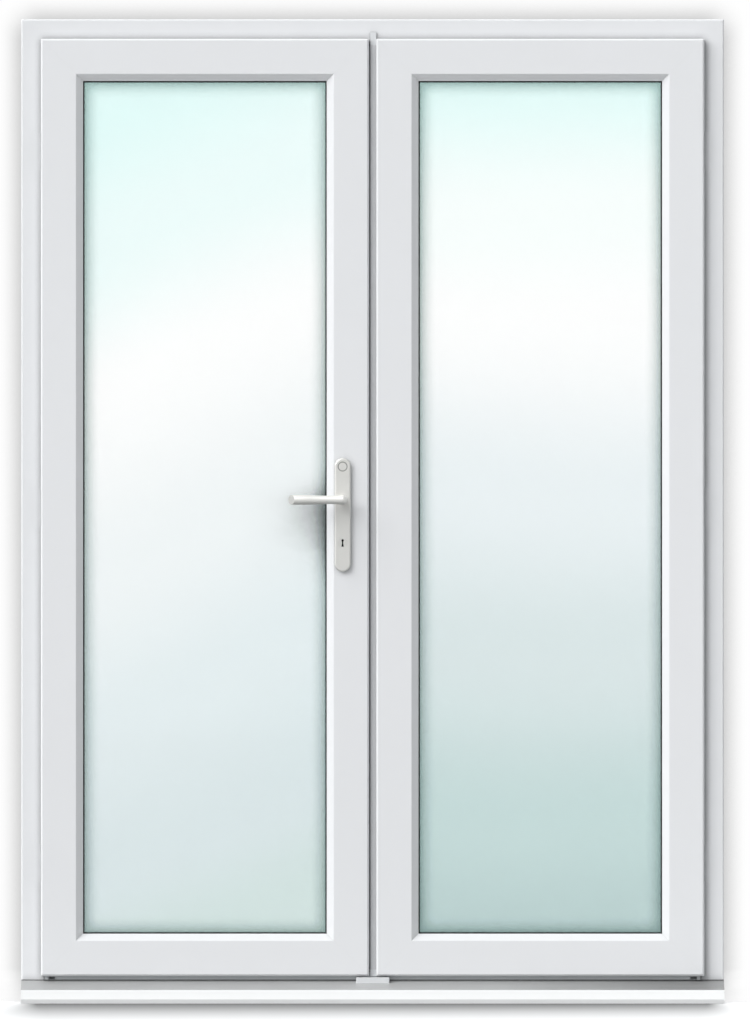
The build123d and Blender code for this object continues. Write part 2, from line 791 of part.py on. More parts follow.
# Latch: a sprung bolt with a sloped nose, and the deadbolt below it
with BuildPart() as latch_bolt:
    broad = latch_width / 2
    with BuildSketch(Plane.XY.offset(lever_height - latch_tall / 2)):
        with BuildLine():
            Polyline(
                (latch_rest_tip - latch_tail, lock_line - broad),
                (latch_rest_tip - 1.0, lock_line - broad),
                (latch_rest_tip, lock_line - broad + 1.5),
                (latch_rest_tip - 9.0, lock_line + broad),
                (latch_rest_tip - latch_tail, lock_line + broad),
                close=True,
            )
        make_face()
    extrude(amount=latch_tall)
save(latch_bolt, "latch_bolt")

with BuildPart() as deadbolt:
    broad = latch_width / 2
    low = (bolt_rest_tip - bolt_tail, lock_line - broad, bolt_height - bolt_tall / 2)
    box_between(low, (bolt_rest_tip, lock_line + broad, bolt_height + bolt_tall / 2))
    chamfer(deadbolt.faces().sort_by(Axis.X)[-1].edges(), 0.6)
save(deadbolt, "deadbolt")

# Rods: flat bars behind the faceplate, ending in round bolts at the strip's ends
rod_x = groove_x - rod_groove / 2
with BuildPart() as upper_rod:
    tip_low = strip_top - rod_tip_length
    low = (rod_x - rod_thickness / 2, lock_line - rod_width / 2, case_top + 1.0)
    box_between(low, (rod_x + rod_thickness / 2, lock_line + rod_width / 2, tip_low))
    drill((rod_x, lock_line, tip_low), (0, 0, 1), rod_tip_radius - 0.8, rod_tip_length, Mode.ADD)
save(upper_rod, "upper_rod")
with BuildPart() as lower_rod:
    low = (rod_x - rod_thickness / 2, lock_line - rod_width / 2, strip_bottom + rod_tip_length)
    box_between(low, (rod_x + rod_thickness / 2, lock_line + rod_width / 2, case_bottom - 1.0))
    drill((rod_x, lock_line, strip_bottom), (0, 0, 1), rod_tip_radius - 0.8, rod_tip_length, Mode.ADD)
save(lower_rod, "lower_rod")

# Mullion strip on the second leaf, closed by end caps, with tongues that bridge the overlap
with BuildPart() as meeting_mullion:
    with BuildSketch(Plane.XY.offset(strip_bottom + mullion_cap)) as mullion_section:
        with BuildLine():
            Polyline(
                (strip_back_edge, -face_gap),
                (mullion_left, -face_gap),
                (mullion_left, -face_gap + strip_nose),
                (mullion_groove_x, -face_gap + strip_nose),
                (mullion_groove_x, leaf_back),
                (strip_back_edge, leaf_back),
                close=True,
            )
        make_face()
        corner = (mullion_left, -face_gap, strip_bottom)
        fillet(mullion_section.vertices().sort_by_distance(corner)[0], 1.0)
        chamber_middle = (mullion_groove_x + strip_back_edge) / 2
        chamber_width = strip_back_edge - mullion_groove_x - 2 * wall
        for front, back in ((-face_gap + wall, lock_line - 9.0), (lock_line + 9.0, leaf_back - wall)):
            with Locations((chamber_middle, (front + back) / 2)):
                Rectangle(chamber_width, back - front, mode=Mode.SUBTRACT)
    extrude(amount=strip_top - strip_bottom - 2 * mullion_cap)
    # Pockets behind the keeps
    for height, tall in ((lever_height, latch_tall), (bolt_height, bolt_tall)):
        span = tall / 2 + 1.5
        broad = latch_width / 2 + 1.5
        low = (mullion_left, lock_line - broad, height - span)
        box_between(low, (bolt_rest_tip + bolt_throw + 1.0, lock_line + broad, height + span), Mode.SUBTRACT)
    bore_radius = flush_bolt_radius + 0.4
    for bore_start, bore_sense in ((strip_bottom, 1), (strip_top, -1)):
        start = (flush_bolt_x, lock_line, bore_start)
        drill(start, (0, 0, bore_sense), bore_radius, flush_bolt_length + flush_bore_extra)
save(meeting_mullion, "meeting_mullion")

with BuildPart() as mullion_end_caps:
    for low, tongue_low, tongue_high in (
        (strip_bottom, leaf_bottom - 1.0, strip_bottom + mullion_cap),
        (strip_top - mullion_cap, strip_top - mullion_cap, leaf_top + tongue_rise),
    ):
        box_between((mullion_groove_x, -face_gap, low), (strip_back_edge, leaf_back, low + mullion_cap))
        tongue = (mullion_left, -face_gap, tongue_low)
        box_between(tongue, (leaf_inner, -face_gap + tongue_depth, tongue_high))
        drill((flush_bolt_x, lock_line, low), (0, 0, 1), bore_radius, mullion_cap)
save(mullion_end_caps, "mullion_end_caps")

# Soft seal that closes the parting line from the mullion's front edge
with BuildPart() as meeting_seal:
    seal_low = strip_bottom + mullion_cap + 1.0
    with BuildSketch(Plane.XY.offset(seal_low)):
        with BuildLine():
            Polyline(
                (mullion_left, 0.0),
                (mullion_left - strip_gap + seal_clearance, 1.0),
                (mullion_left - strip_gap + seal_clearance, 3.0),
                (mullion_left, 5.0),
                close=True,
            )
        make_face()
    extrude(amount=strip_top - mullion_cap - 1.0 - seal_low)
save(meeting_seal, "meeting_seal")

# Keeps on the mullion for the latch and the deadbolt, on one long plate
with BuildPart() as lock_keeps:
    half = lock_face_width / 2
    low_end = bolt_height - bolt_tall / 2 - keep_margin
    high_end = lever_height + latch_tall / 2 + keep_margin
    low = (mullion_groove_x - keep_thickness, lock_line - half, low_end)
    box_between(low, (mullion_groove_x, lock_line + half, high_end))
    fillet(lock_keeps.edges().filter_by(Axis.X), 3.0)
    for height, tall in ((lever_height, latch_tall), (bolt_height, bolt_tall)):
        span = tall / 2 + 1.0
        broad = latch_width / 2 + 1.0
        low = (mullion_groove_x - keep_thickness, lock_line - broad, height - span)
        box_between(low, (mullion_groove_x, lock_line + broad, height + span), Mode.SUBTRACT)
save(lock_keeps, "lock_keeps")

# Keep plates in the head and on the threshold for the rods and the flush bolts
keep_front = lock_line - 10.0
keep_back = lock_line + 10.0
for name, low, rise in (
    ("head_keep", frame_top - frame_face - 2.0, 2.0),
    ("threshold_keep", threshold_top, 2.0),
):
    with BuildPart() as keep:
        box_between((rod_x - 22.0, keep_front, low), (flush_bolt_x + 22.0, keep_back, low + rise))
        fillet(keep.edges().filter_by(Axis.Z), 4.0)
        for hole_x, radius in ((rod_x, rod_tip_radius), (flush_bolt_x, flush_bolt_radius)):
            drill((hole_x, lock_line, low), (0, 0, 1), radius + keep_hole_clearance, rise)
    save(keep, name)

# Flush bolts of the second leaf: round bars with a flat thumb pad on the parting side
for name, tip, sense in (("top_flush_bolt", strip_top, -1), ("bottom_flush_bolt", strip_bottom, 1)):
    with BuildPart() as flush_bolt:
        drill((flush_bolt_x, lock_line, tip), (0, 0, sense), flush_bolt_radius, flush_bolt_length, Mode.ADD)
        tip_face = flush_bolt.faces().filter_by(Plane.XY).sort_by(Axis.Z)[-1 if sense < 0 else 0]
        chamfer(tip_face.edges(), 1.0)
    save(flush_bolt, name)


def plate_outline():
    """The long plate's round-ended outline, drawn in the current sketch about its middle."""
    SlotOverall(plate_length, plate_width, rotation=90)


# Handle plates: long round-ended covers, outside and inside
for name, face, outward in (("outer", leaf_front, -1), ("inner", leaf_back, 1)):
    plate_plane = Plane(origin=(lever_x, face, plate_middle), x_dir=(1, 0, 0), z_dir=(0, outward, 0))
    with BuildPart() as handle_plate:
        with BuildSketch(plate_plane):
            plate_outline()
        extrude(amount=plate_thickness)
        front_face = handle_plate.faces().filter_by(Plane.XZ).sort_by(Axis.Y)[0 if outward < 0 else -1]
        fillet(front_face.edges(), plate_edge)
        with BuildSketch(plate_plane):
            SlotOverall(plate_length - 2 * plate_shell, plate_width - 2 * plate_shell, rotation=90)
        extrude(amount=plate_thickness - plate_shell, mode=Mode.SUBTRACT)
        outer_y = face + outward * plate_thickness
        for height, bore, rim in (
            (lever_height, neck_radius + neck_clearance, 2.7),
            (key_height, plug_radius + plug_clearance, 2.4),
        ):
            drill((lever_x, outer_y, height), (0, -outward, 0), bore, plate_shell)
            boss = Plane(origin=(lever_x, face, height), x_dir=(1, 0, 0), z_dir=(0, outward, 0))
            with BuildSketch(boss):
                Circle(bore + rim)
                Circle(bore, mode=Mode.SUBTRACT)
            extrude(amount=plate_thickness - 3.0)
        for end in (-1, 1):
            height = plate_middle + end * screw_spacing / 2
            boss = Plane(origin=(lever_x, face, height), x_dir=(1, 0, 0), z_dir=(0, outward, 0))
            with BuildSketch(boss):
                Circle(5.5)
                Circle(screw_radius, mode=Mode.SUBTRACT)
            extrude(amount=plate_thickness - 3.0)
        if outward < 0:
            disc_middle = (lever_x, outer_y, plate_bottom + plate_length - disc_drop)
            with BuildSketch(Plane(origin=disc_middle, z_dir=(0, outward, 0))):
                Circle(disc_radius)
                Circle(disc_radius - 1.0, mode=Mode.SUBTRACT)
            extrude(amount=-disc_depth, mode=Mode.SUBTRACT)
        else:
            for end in (-1, 1):
                height = plate_middle + end * screw_spacing / 2
                drill((lever_x, outer_y, height), (0, -outward, 0), screw_head + 0.3, 2.5)
                drill((lever_x, outer_y, height), (0, -outward, 0), screw_radius + 0.3, plate_thickness)
    save(handle_plate, name + "_handle_plate")

# Two long screws draw the plates together through the lock case
with BuildPart() as handle_screws:
    for end in (-1, 1):
        height = plate_middle + end * screw_spacing / 2
        head = (lever_x, leaf_back + plate_thickness - 2.4, height)
        reach = profile_depth + plate_thickness - 2.4 + 4.0
        drill(head, (0, -1, 0), screw_radius - 0.2, reach, Mode.ADD)
        drill(head, (0, 1, 0), screw_head, 2.0, Mode.ADD)
save(handle_screws, "handle_screws")


# Levers: a round neck that turns in the plate, and a bar that swells towards its slanted end
for name, face, outward in (("outer", leaf_front, -1), ("inner", leaf_back, 1)):
    bar_y = face + outward * lever_stand
    tip_x = lever_x - lever_reach
    root_radius = lever_tall / 2 - 0.5
    root_diagonal = root_radius / 2**0.5
    with BuildPart() as lever:
        bar_plane = Plane(origin=(lever_x, bar_y, lever_height), x_dir=(-1, 0, 0), z_dir=(0, -1, 0))
        with BuildSketch(bar_plane):
            with BuildLine():
                Line((-root_radius, 0), (lever_reach, 0))
                Polyline(
                    (lever_reach, 0),
                    (lever_reach, lever_tip_radius),
                    (lever_reach - 17.0, lever_tall / 2),
                    (lever_swell, lever_tall / 2),
                    (lever_swell * 0.6, lever_waist / 2),
                    (lever_swell * 0.35, lever_waist / 2),
                    (0, root_radius),
                )
                ThreePointArc((0, root_radius), (-root_diagonal, root_diagonal), (-root_radius, 0))
            make_face()
        revolve(axis=Axis((lever_x, bar_y, lever_height), (1, 0, 0)))
        neck_plane = Plane(origin=(lever_x, face + outward * 0.5, lever_height), z_dir=(0, outward, 0))
        with BuildSketch(neck_plane):
            Circle(neck_radius)
        extrude(amount=lever_stand - 0.5)
        # The end is cut off at a slant, so that it shows as an oval from the front
        with BuildSketch(Plane.XY.offset(lever_height - lever_tall)):
            with BuildLine():
                Polyline(
                    (tip_x + lever_end_cut, bar_y + outward * lever_tall / 2),
                    (tip_x, bar_y - outward * lever_tall / 2),
                    (tip_x - lever_end_cut, bar_y - outward * lever_tall / 2),
                    (tip_x - lever_end_cut, bar_y + outward * lever_tall / 2),
                    close=True,
                )
            make_face()
        extrude(amount=2 * lever_tall, mode=Mode.SUBTRACT)
        with BuildSketch(neck_plane):
            Rectangle(spindle_size + 0.1, spindle_size + 0.1)
        extrude(amount=20.0, mode=Mode.SUBTRACT)
    save(lever, name + "_lever")

with BuildPart() as spindle:
    reach = 15.0
    half = spindle_size / 2
    low = (lever_x - half, leaf_front - reach, lever_height - half)
    box_between(low, (lever_x + half, leaf_back + reach, lever_height + half))
    chamfer(spindle.edges().filter_by(Axis.Y), 0.5)
save(spindle, "spindle")


# Key plug: a round rotor with a keyhole in each face, turning in the lock cylinder
def keyhole(y, outward):
    """Cut a keyhole: a round top, a narrow waist and a flared foot."""
    key_plane = Plane(origin=(lever_x, y, key_height), x_dir=(-outward, 0, 0), z_dir=(0, outward, 0))
    with BuildSketch(key_plane) as key_shape:
        with Locations((0, key_tall / 2 - key_wide / 2)):
            Circle(key_wide / 2)
        with BuildLine():
            Polyline(
                (-key_wide * 0.3, key_tall * 0.2),
                (key_wide * 0.3, key_tall * 0.2),
                (key_wide * 0.24, 0),
                (key_wide / 2, -key_tall / 2),
                (-key_wide / 2, -key_tall / 2),
                (-key_wide * 0.24, 0),
                close=True,
            )
        make_face()
    extrude(key_shape.sketch, amount=-6.0, mode=Mode.SUBTRACT)


with BuildPart() as key_plug:
    plug_front = leaf_front - plate_thickness
    plug_back = leaf_back + plate_thickness
    drill((lever_x, plug_front, key_height), (0, 1, 0), plug_radius, 9.0, Mode.ADD)
    drill((lever_x, plug_back, key_height), (0, -1, 0), plug_radius, 9.0, Mode.ADD)
    drill((lever_x, plug_front, key_height), (0, 1, 0), plug_body_radius, plug_back - plug_front, Mode.ADD)
    keyhole(plug_front, -1)
    keyhole(plug_back, 1)
save(key_plug, "key_plug")

# Lock cylinder: the fixed sleeve that the plug turns in
with BuildPart() as lock_cylinder:
    with BuildSketch(Plane(origin=(lever_x, leaf_front + 1.0, key_height), z_dir=(0, 1, 0))):
        Circle(plug_radius)
        Circle(plug_body_radius + plug_clearance, mode=Mode.SUBTRACT)
    extrude(amount=profile_depth - 2.0)
save(lock_cylinder, "lock_cylinder")
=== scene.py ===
"""French doors: surface finishes, small fastenings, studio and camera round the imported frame."""

import json
import logging
import math
from dataclasses import dataclass, field
from enum import Enum

import bmesh
import bpy
from mathutils import Matrix, Vector


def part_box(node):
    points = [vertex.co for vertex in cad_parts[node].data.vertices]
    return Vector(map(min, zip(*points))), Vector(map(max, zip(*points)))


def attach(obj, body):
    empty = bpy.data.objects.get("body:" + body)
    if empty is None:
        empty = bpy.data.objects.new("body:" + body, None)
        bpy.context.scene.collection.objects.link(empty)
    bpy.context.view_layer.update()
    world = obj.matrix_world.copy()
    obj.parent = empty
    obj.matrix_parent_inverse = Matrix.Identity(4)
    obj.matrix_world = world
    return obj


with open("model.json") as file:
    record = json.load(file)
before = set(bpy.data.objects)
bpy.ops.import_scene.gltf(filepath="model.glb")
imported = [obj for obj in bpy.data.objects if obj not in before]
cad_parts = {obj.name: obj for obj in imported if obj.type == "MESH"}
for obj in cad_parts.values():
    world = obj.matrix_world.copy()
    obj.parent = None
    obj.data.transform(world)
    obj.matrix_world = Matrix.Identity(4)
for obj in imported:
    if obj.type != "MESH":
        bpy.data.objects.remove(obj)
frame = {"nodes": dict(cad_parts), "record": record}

log = logging.getLogger("french_doors")
MM = 0.001
BLACK, WHITE = (0.0, 0.0, 0.0, 1.0), (1.0, 1.0, 1.0, 1.0)

Pair = tuple[float, float]
Point = tuple[float, float, float]
Colour = tuple[float, float, float]
Stops = tuple[tuple[float, Colour], ...]
Outline = list[Pair]
Loop = list[bmesh.types.BMVert]
Mesh = bmesh.types.BMesh
Material = bpy.types.Material
Socket = bpy.types.NodeSocket


class Side(Enum):
    """The two leaves, seen from outside, with the sign that X has on each."""

    LEFT = -1
    RIGHT = 1

    @property
    def word(self) -> str:
        """The side's name as it stands in the node names."""
        return self.name.lower()


class Pane(Enum):
    """The two panes of a sealed unit."""

    OUTER = "outer"
    INNER = "inner"


def srgb(red: int, green: int, blue: int) -> Colour:
    """Turn a colour as a paint chart gives it into linear light.

    Args:
        red: Red, 0 to 255.
        green: Green, 0 to 255.
        blue: Blue, 0 to 255.

    Returns:
        The linear red, green and blue.
    """
    def linear(value: float) -> float:
        """One channel, from 0 to 255, as linear light."""
        share = value / 255.0
        return share / 12.92 if share <= 0.04045 else ((share + 0.055) / 1.055) ** 2.4

    return linear(red), linear(green), linear(blue)


def times(colour: Colour, factor: float) -> tuple[float, float, float, float]:
    """A colour made darker or lighter, with full opacity, for a socket."""
    return colour[0] * factor, colour[1] * factor, colour[2] * factor, 1.0


class Graph:
    """A shader's node tree, with short calls that add nodes and join sockets."""

    def __init__(self, owner: bpy.types.ID, output: str = "OutputMaterial") -> None:
        """Empty a node tree, apart from its output.

        Args:
            owner: The material or world that the tree belongs to.
            output: The output node's kind.
        """
        owner.use_nodes = True
        self.owner, self.tree = owner, owner.node_tree
        self.tree.nodes.clear()
        self.output = self.add(output)

    @classmethod
    def named(cls, name: str) -> "Graph":
        """The graph of a new material with this name."""
        return cls(bpy.data.materials.new(name))

    def add(self, kind: str, **settings: object) -> bpy.types.Node:
        """Add a node.

        Args:
            kind: What follows ShaderNode in its type's name.
            settings: Properties of the node.

        Returns:
            The new node.
        """
        node = self.tree.nodes.new("ShaderNode" + kind)
        for key, value in settings.items():
            setattr(node, key, value)
        return node

    def join(self, value: object, target: Socket) -> None:
        """Give a socket its value.

        Args:
            value: A socket that it is linked to, or a number or tuple that it is set to.
            target: The socket.
        """
        if isinstance(value, Socket):
            self.tree.links.new(value, target)
        else:
            target.default_value = value

    def feed(self, kind: str, *values: object, **settings: object) -> Socket:
        """Add a node and give its inputs values in their order.

        Args:
            kind: The node's kind, as add takes it.
            values: Sockets, numbers or tuples.
            settings: Properties of the node.

        Returns:
            The node's first output.
        """
        node = self.add(kind, **settings)
        for target, value in zip(node.inputs, values):
            self.join(value, target)
        return node.outputs[0]

    def fill(self, kind: str, **values: object) -> Socket:
        """Add a node and give its inputs values by name.

        Args:
            kind: The node's kind, as add takes it.
            values: Sockets, numbers or tuples, each under its input's name with _ for a blank.

        Returns:
            The node's first output.
        """
        node = self.add(kind)
        for name, value in values.items():
            self.join(value, node.inputs[name.replace("_", " ")])
        return node.outputs[0]

    def surface(self, shader: Socket) -> bpy.types.ID:
        """Show a shader on the tree's owner, and return the owner."""
        self.join(shader, self.output.inputs["Surface"])
        return self.owner

    def math(self, operation: str, first: object, second: object = 0.0) -> Socket:
        """What an operation makes of two sockets or numbers."""
        return self.feed("Math", first, second, operation=operation)

    def place(self) -> Socket:
        """The point's place in the object's own frame, in metres."""
        return self.add("TexCoord").outputs["Object"]

    def facing(self) -> Socket:
        """The direction that the surface faces, in the object's own frame."""
        return self.add("TexCoord").outputs["Normal"]

    def axes(self, vector: Socket) -> dict[str, Socket]:
        """The parts of a vector, by the axes' letters."""
        outputs = self.feed("SeparateXYZ", vector).node.outputs
        return {axis: outputs[axis] for axis in "XYZ"}

    def off(self, value: Socket, middle: object) -> Socket:
        """How far a value is from another, on either side of it."""
        return self.math("ABSOLUTE", self.math("SUBTRACT", value, middle))

    def stretched(self, scale: Point) -> Socket:
        """The point's place, scaled along each axis."""
        return self.fill("Mapping", Vector=self.place(), Scale=scale)

    def noise(self, vector: Socket, scale: float, detail: float = 3.0) -> Socket:
        """A noise from 0 to 1, with this many cells a metre and this many octaves."""
        return self.fill("TexNoise", Vector=vector, Scale=scale, Detail=detail)

    def spread(self, value: Socket, low: float, high: float, start: float = 0.0, end: float = 1.0) -> Socket:
        """A value from start to end made to run from low to high, and held there."""
        return self.fill("MapRange", Value=value, From_Min=start, From_Max=end, To_Min=low, To_Max=high)

    def openness(self, reach: float, samples: int, *normal: Socket) -> Socket:
        """How free a point is within a reach, 1 where nothing is near; a normal turns the search."""
        return self.feed("AmbientOcclusion", WHITE, reach, *normal, samples=samples).node.outputs["AO"]

    def bump(self, height: Socket, distance: float, **base: Socket) -> Socket:
        """The normal of a height from 0 to 1 over this distance, laid on the Normal that base may hold."""
        return self.fill("Bump", Strength=1.0, Distance=distance, Height=height, **base)

    def soft_edges(self, radius: float) -> Socket:
        """A normal that is rounded over the solid's edges, by this radius in metres."""
        return self.feed("Bevel", radius, samples=4)

    def blend(self, factor: object, first: object, second: object, mode: str = "MIX") -> Socket:
        """Mix two colours.

        Args:
            factor: How much of the second colour shows.
            first: A colour or a socket.
            second: A colour or a socket.
            mode: The mix node's blend type.

        Returns:
            The mixed colour.
        """
        node = self.add("Mix", data_type="RGBA", blend_type=mode)
        for place, value in ((0, factor), (6, first), (7, second)):
            self.join(value, node.inputs[place])
        return node.outputs[2]

    def ramp(self, value: Socket, stops: Stops) -> Socket:
        """Add a colour ramp.

        Args:
            value: What runs along the ramp, from 0 to 1.
            stops: Each stop's place and colour.

        Returns:
            The ramp's colour.
        """
        node = self.feed("ValToRGB", value).node
        node.color_ramp.interpolation = "EASE"
        elements = node.color_ramp.elements
        while len(elements) < len(stops):
            elements.new(0.5)
        for element, (place, colour) in zip(elements, sorted(stops)):
            element.position = place
            element.color = (*colour, 1.0)
        return node.outputs["Color"]


@dataclass(frozen=True)
class Finish:
    """A plain finish: a colour that wanders a little, a fine grain and softened edges, with painted shade in
    its crevices where crevice shade is set.
    """

    name: str
    colour: Colour
    roughness: float
    metallic: float = 0.0
    specular: float = 0.5
    wander: float = 0.04
    wander_scale: float = 7.0
    grain_scale: float = 900.0
    grain_depth: float = 0.00003
    stretch: Point = (1.0, 1.0, 1.0)
    rough_wander: float = 0.06
    edge: float = 0.0007
    # Painted shade: how much the colour darkens where surfaces stand close together
    crevice_shade: float = 0.0
    crevice_shade_reach: float = 0.014
    crevice_shade_range: Pair = (0.42, 0.95)
    crevice_shade_samples: int = 6
    mottle_ratio: float = 6.0

    def tint(self, graph: Graph) -> Socket:
        """The colour over the surface.

        Args:
            graph: The material being made.

        Returns:
            The colour's socket.
        """
        cloud = graph.noise(graph.stretched(self.stretch), self.wander_scale)
        darker, lighter = times(self.colour, 1.0 - self.wander), times(self.colour, 1.0 + self.wander / 2)
        return graph.blend(cloud, darker, lighter)

    def crevice_shading(self, graph: Graph) -> Socket:
        """Painted shade: a grey that darkens the colour where surfaces stand close together."""
        free = graph.openness(self.crevice_shade_reach, self.crevice_shade_samples)
        return graph.spread(free, 1.0 - self.crevice_shade, 1.0, *self.crevice_shade_range)

    def relief(self, graph: Graph) -> Socket:
        """The normal over the surface."""
        grain = graph.noise(graph.stretched(self.stretch), self.grain_scale, 2.0)
        return graph.bump(grain, self.grain_depth, Normal=graph.soft_edges(self.edge))

    def build(self) -> Material:
        """Make the material.

        Returns:
            The finished material.
        """
        graph = Graph.named(self.name)
        colour = self.tint(graph)
        # Painted shade in the crevices, multiplied into the colour
        if self.crevice_shade:
            colour = graph.blend(1.0, colour, self.crevice_shading(graph), "MULTIPLY")
        mottle = graph.noise(graph.stretched(self.stretch), self.grain_scale / self.mottle_ratio)
        rough = graph.spread(mottle, self.roughness - self.rough_wander, self.roughness + self.rough_wander)
        return graph.surface(graph.fill(
            "BsdfPrincipled", Metallic=self.metallic, Specular_IOR_Level=self.specular, Base_Color=colour,
            Roughness=rough, Normal=self.relief(graph)))


@dataclass(frozen=True)
class WeldedPvc(Finish):
    """White PVC whose corners are welded on the mitre, with a faint groove along each weld."""

    middle: Pair = (0.0, 1.058)
    half: Pair = (0.35, 1.0)
    seam: float = 0.0004
    seam_depth: float = 0.00018
    seam_shade: float = 0.05
    seam_grey: float = 0.2

    def weld(self, graph: Graph) -> Socket:
        """How much of the weld's groove is at a point.

        Args:
            graph: The material being made.

        Returns:
            1 in the middle of the groove, 0 away from it.
        """
        at = graph.axes(graph.place())
        from_side = graph.math("SUBTRACT", self.half[0], graph.off(at["X"], self.middle[0]))
        from_end = graph.math("SUBTRACT", self.half[1], graph.off(at["Z"], self.middle[1]))
        return graph.spread(graph.off(from_side, from_end), 1.0, 0.0, 0.0, self.seam)

    def tint(self, graph: Graph) -> Socket:
        """The white, a shade darker in the welds.

        Args:
            graph: The material being made.

        Returns:
            The colour's socket.
        """
        plain = super().tint(graph)
        shade = graph.math("MULTIPLY", self.weld(graph), self.seam_shade)
        return graph.blend(shade, plain, (self.seam_grey, self.seam_grey, self.seam_grey, 1.0))

    def relief(self, graph: Graph) -> Socket:
        """The fine grain, with the welds cut in."""
        height = graph.math("SUBTRACT", 1.0, self.weld(graph))
        return graph.bump(height, self.seam_depth, Normal=super().relief(graph))


@dataclass(frozen=True)
class CillPvc(Finish):
    """White PVC with painted shade on its sloping board, between its nose and the doors."""

    # How much of the white the painted shade leaves on the slope, and at its darkest right end
    dimmed: float = 0.4
    deepest_shade: float = 0.18
    shade_deepens: Pair = (0.24, 0.70)
    slope: Pair = (0.75, 0.95)
    patch_scale: float = 26.0
    patch_stretch: Point = (0.3, 1.0, 1.0)
    patch_least: float = 0.85

    def tint(self, graph: Graph) -> Socket:
        """The white, with painted shade that greys the slope and is deepest towards its right end.

        Args:
            graph: The material being made.

        Returns:
            The colour's socket.
        """
        # Painted shade: the upward-facing slope is greyed in patches, more so towards its right end
        level = graph.spread(graph.axes(graph.facing())["Z"], 0.0, 1.0, *self.slope)
        patches = graph.noise(graph.stretched(self.patch_stretch), self.patch_scale)
        cloud = graph.spread(patches, self.patch_least, 1.0)
        along = graph.spread(graph.axes(graph.place())["X"], 0.0, 1.0, *self.shade_deepens)
        slope_shade = graph.blend(along, times(self.colour, self.dimmed), times(self.colour, self.deepest_shade))
        return graph.blend(graph.math("MULTIPLY", level, cloud), super().tint(graph), slope_shade)


@dataclass(frozen=True)
class Galvanised(Finish):
    """Zinc-coated sheet with the flat crystals of hot-dip galvanising."""

    spangle: float = 160.0
    darkest: float = 0.78
    lightest: float = 1.1

    def tint(self, graph: Graph) -> Socket:
        """Each crystal has its own grey.

        Args:
            graph: The material being made.

        Returns:
            The colour's socket.
        """
        cells = graph.fill("TexVoronoi", Vector=graph.place(), Scale=self.spangle).node
        grey = graph.feed("SeparateColor", cells.outputs["Color"])
        return graph.blend(grey, times(self.colour, self.darkest), times(self.colour, self.lightest))


@dataclass(frozen=True)
class SatinLever(Finish):
    """Satin metal with painted shade on the lever's underside and on the flat end of its grip."""

    under_shade: float = 0.45
    under_shade_range: Pair = (-0.95, -0.25)
    # How dark the painted shade on the grip's end face is
    end: float = 0.35
    end_shade_range: Pair = (-0.9, -0.6)

    def tint(self, graph: Graph) -> Socket:
        """The satin colour, with painted shade on the underside and the end.

        Args:
            graph: The material being made.

        Returns:
            The colour's socket.
        """
        # Painted shade: faces turned down, or towards the grip's end, are darkened
        faces = graph.axes(graph.facing())
        below_shade = graph.spread(faces["Z"], self.under_shade, 0.0, *self.under_shade_range)
        end_shade = graph.spread(faces["X"], self.end, 0.0, *self.end_shade_range)
        return graph.blend(graph.math("MAXIMUM", below_shade, end_shade), super().tint(graph), BLACK)


@dataclass(frozen=True)
class RingedHandle(Finish):
    """The outer plate's satin metal, with a fine dark ring where its round disc is set in."""

    centre: Pair = (-0.064, 1.145)
    ring_inner: float = 0.0088
    ring_outer: float = 0.0102
    soft: float = 0.0005
    ring_shade: Colour = srgb(120, 118, 114)
    ring_depth: float = 0.75

    def tint(self, graph: Graph) -> Socket:
        """The satin colour, dark along the ring.

        Args:
            graph: The material being made.

        Returns:
            The colour's socket.
        """
        at = graph.axes(graph.place())
        squares = [graph.math("POWER", graph.off(at[axis], middle), 2.0)
                   for axis, middle in zip("XZ", self.centre)]
        distance = graph.math("SQRT", graph.math("ADD", *squares))
        inside = graph.spread(distance, 0.0, 1.0, self.ring_inner - self.soft, self.ring_inner)
        outside = graph.spread(distance, self.ring_depth, 0.0, self.ring_outer, self.ring_outer + self.soft)
        ring = graph.math("MULTIPLY", inside, outside)
        return graph.blend(ring, super().tint(graph), times(self.ring_shade, 1.0))


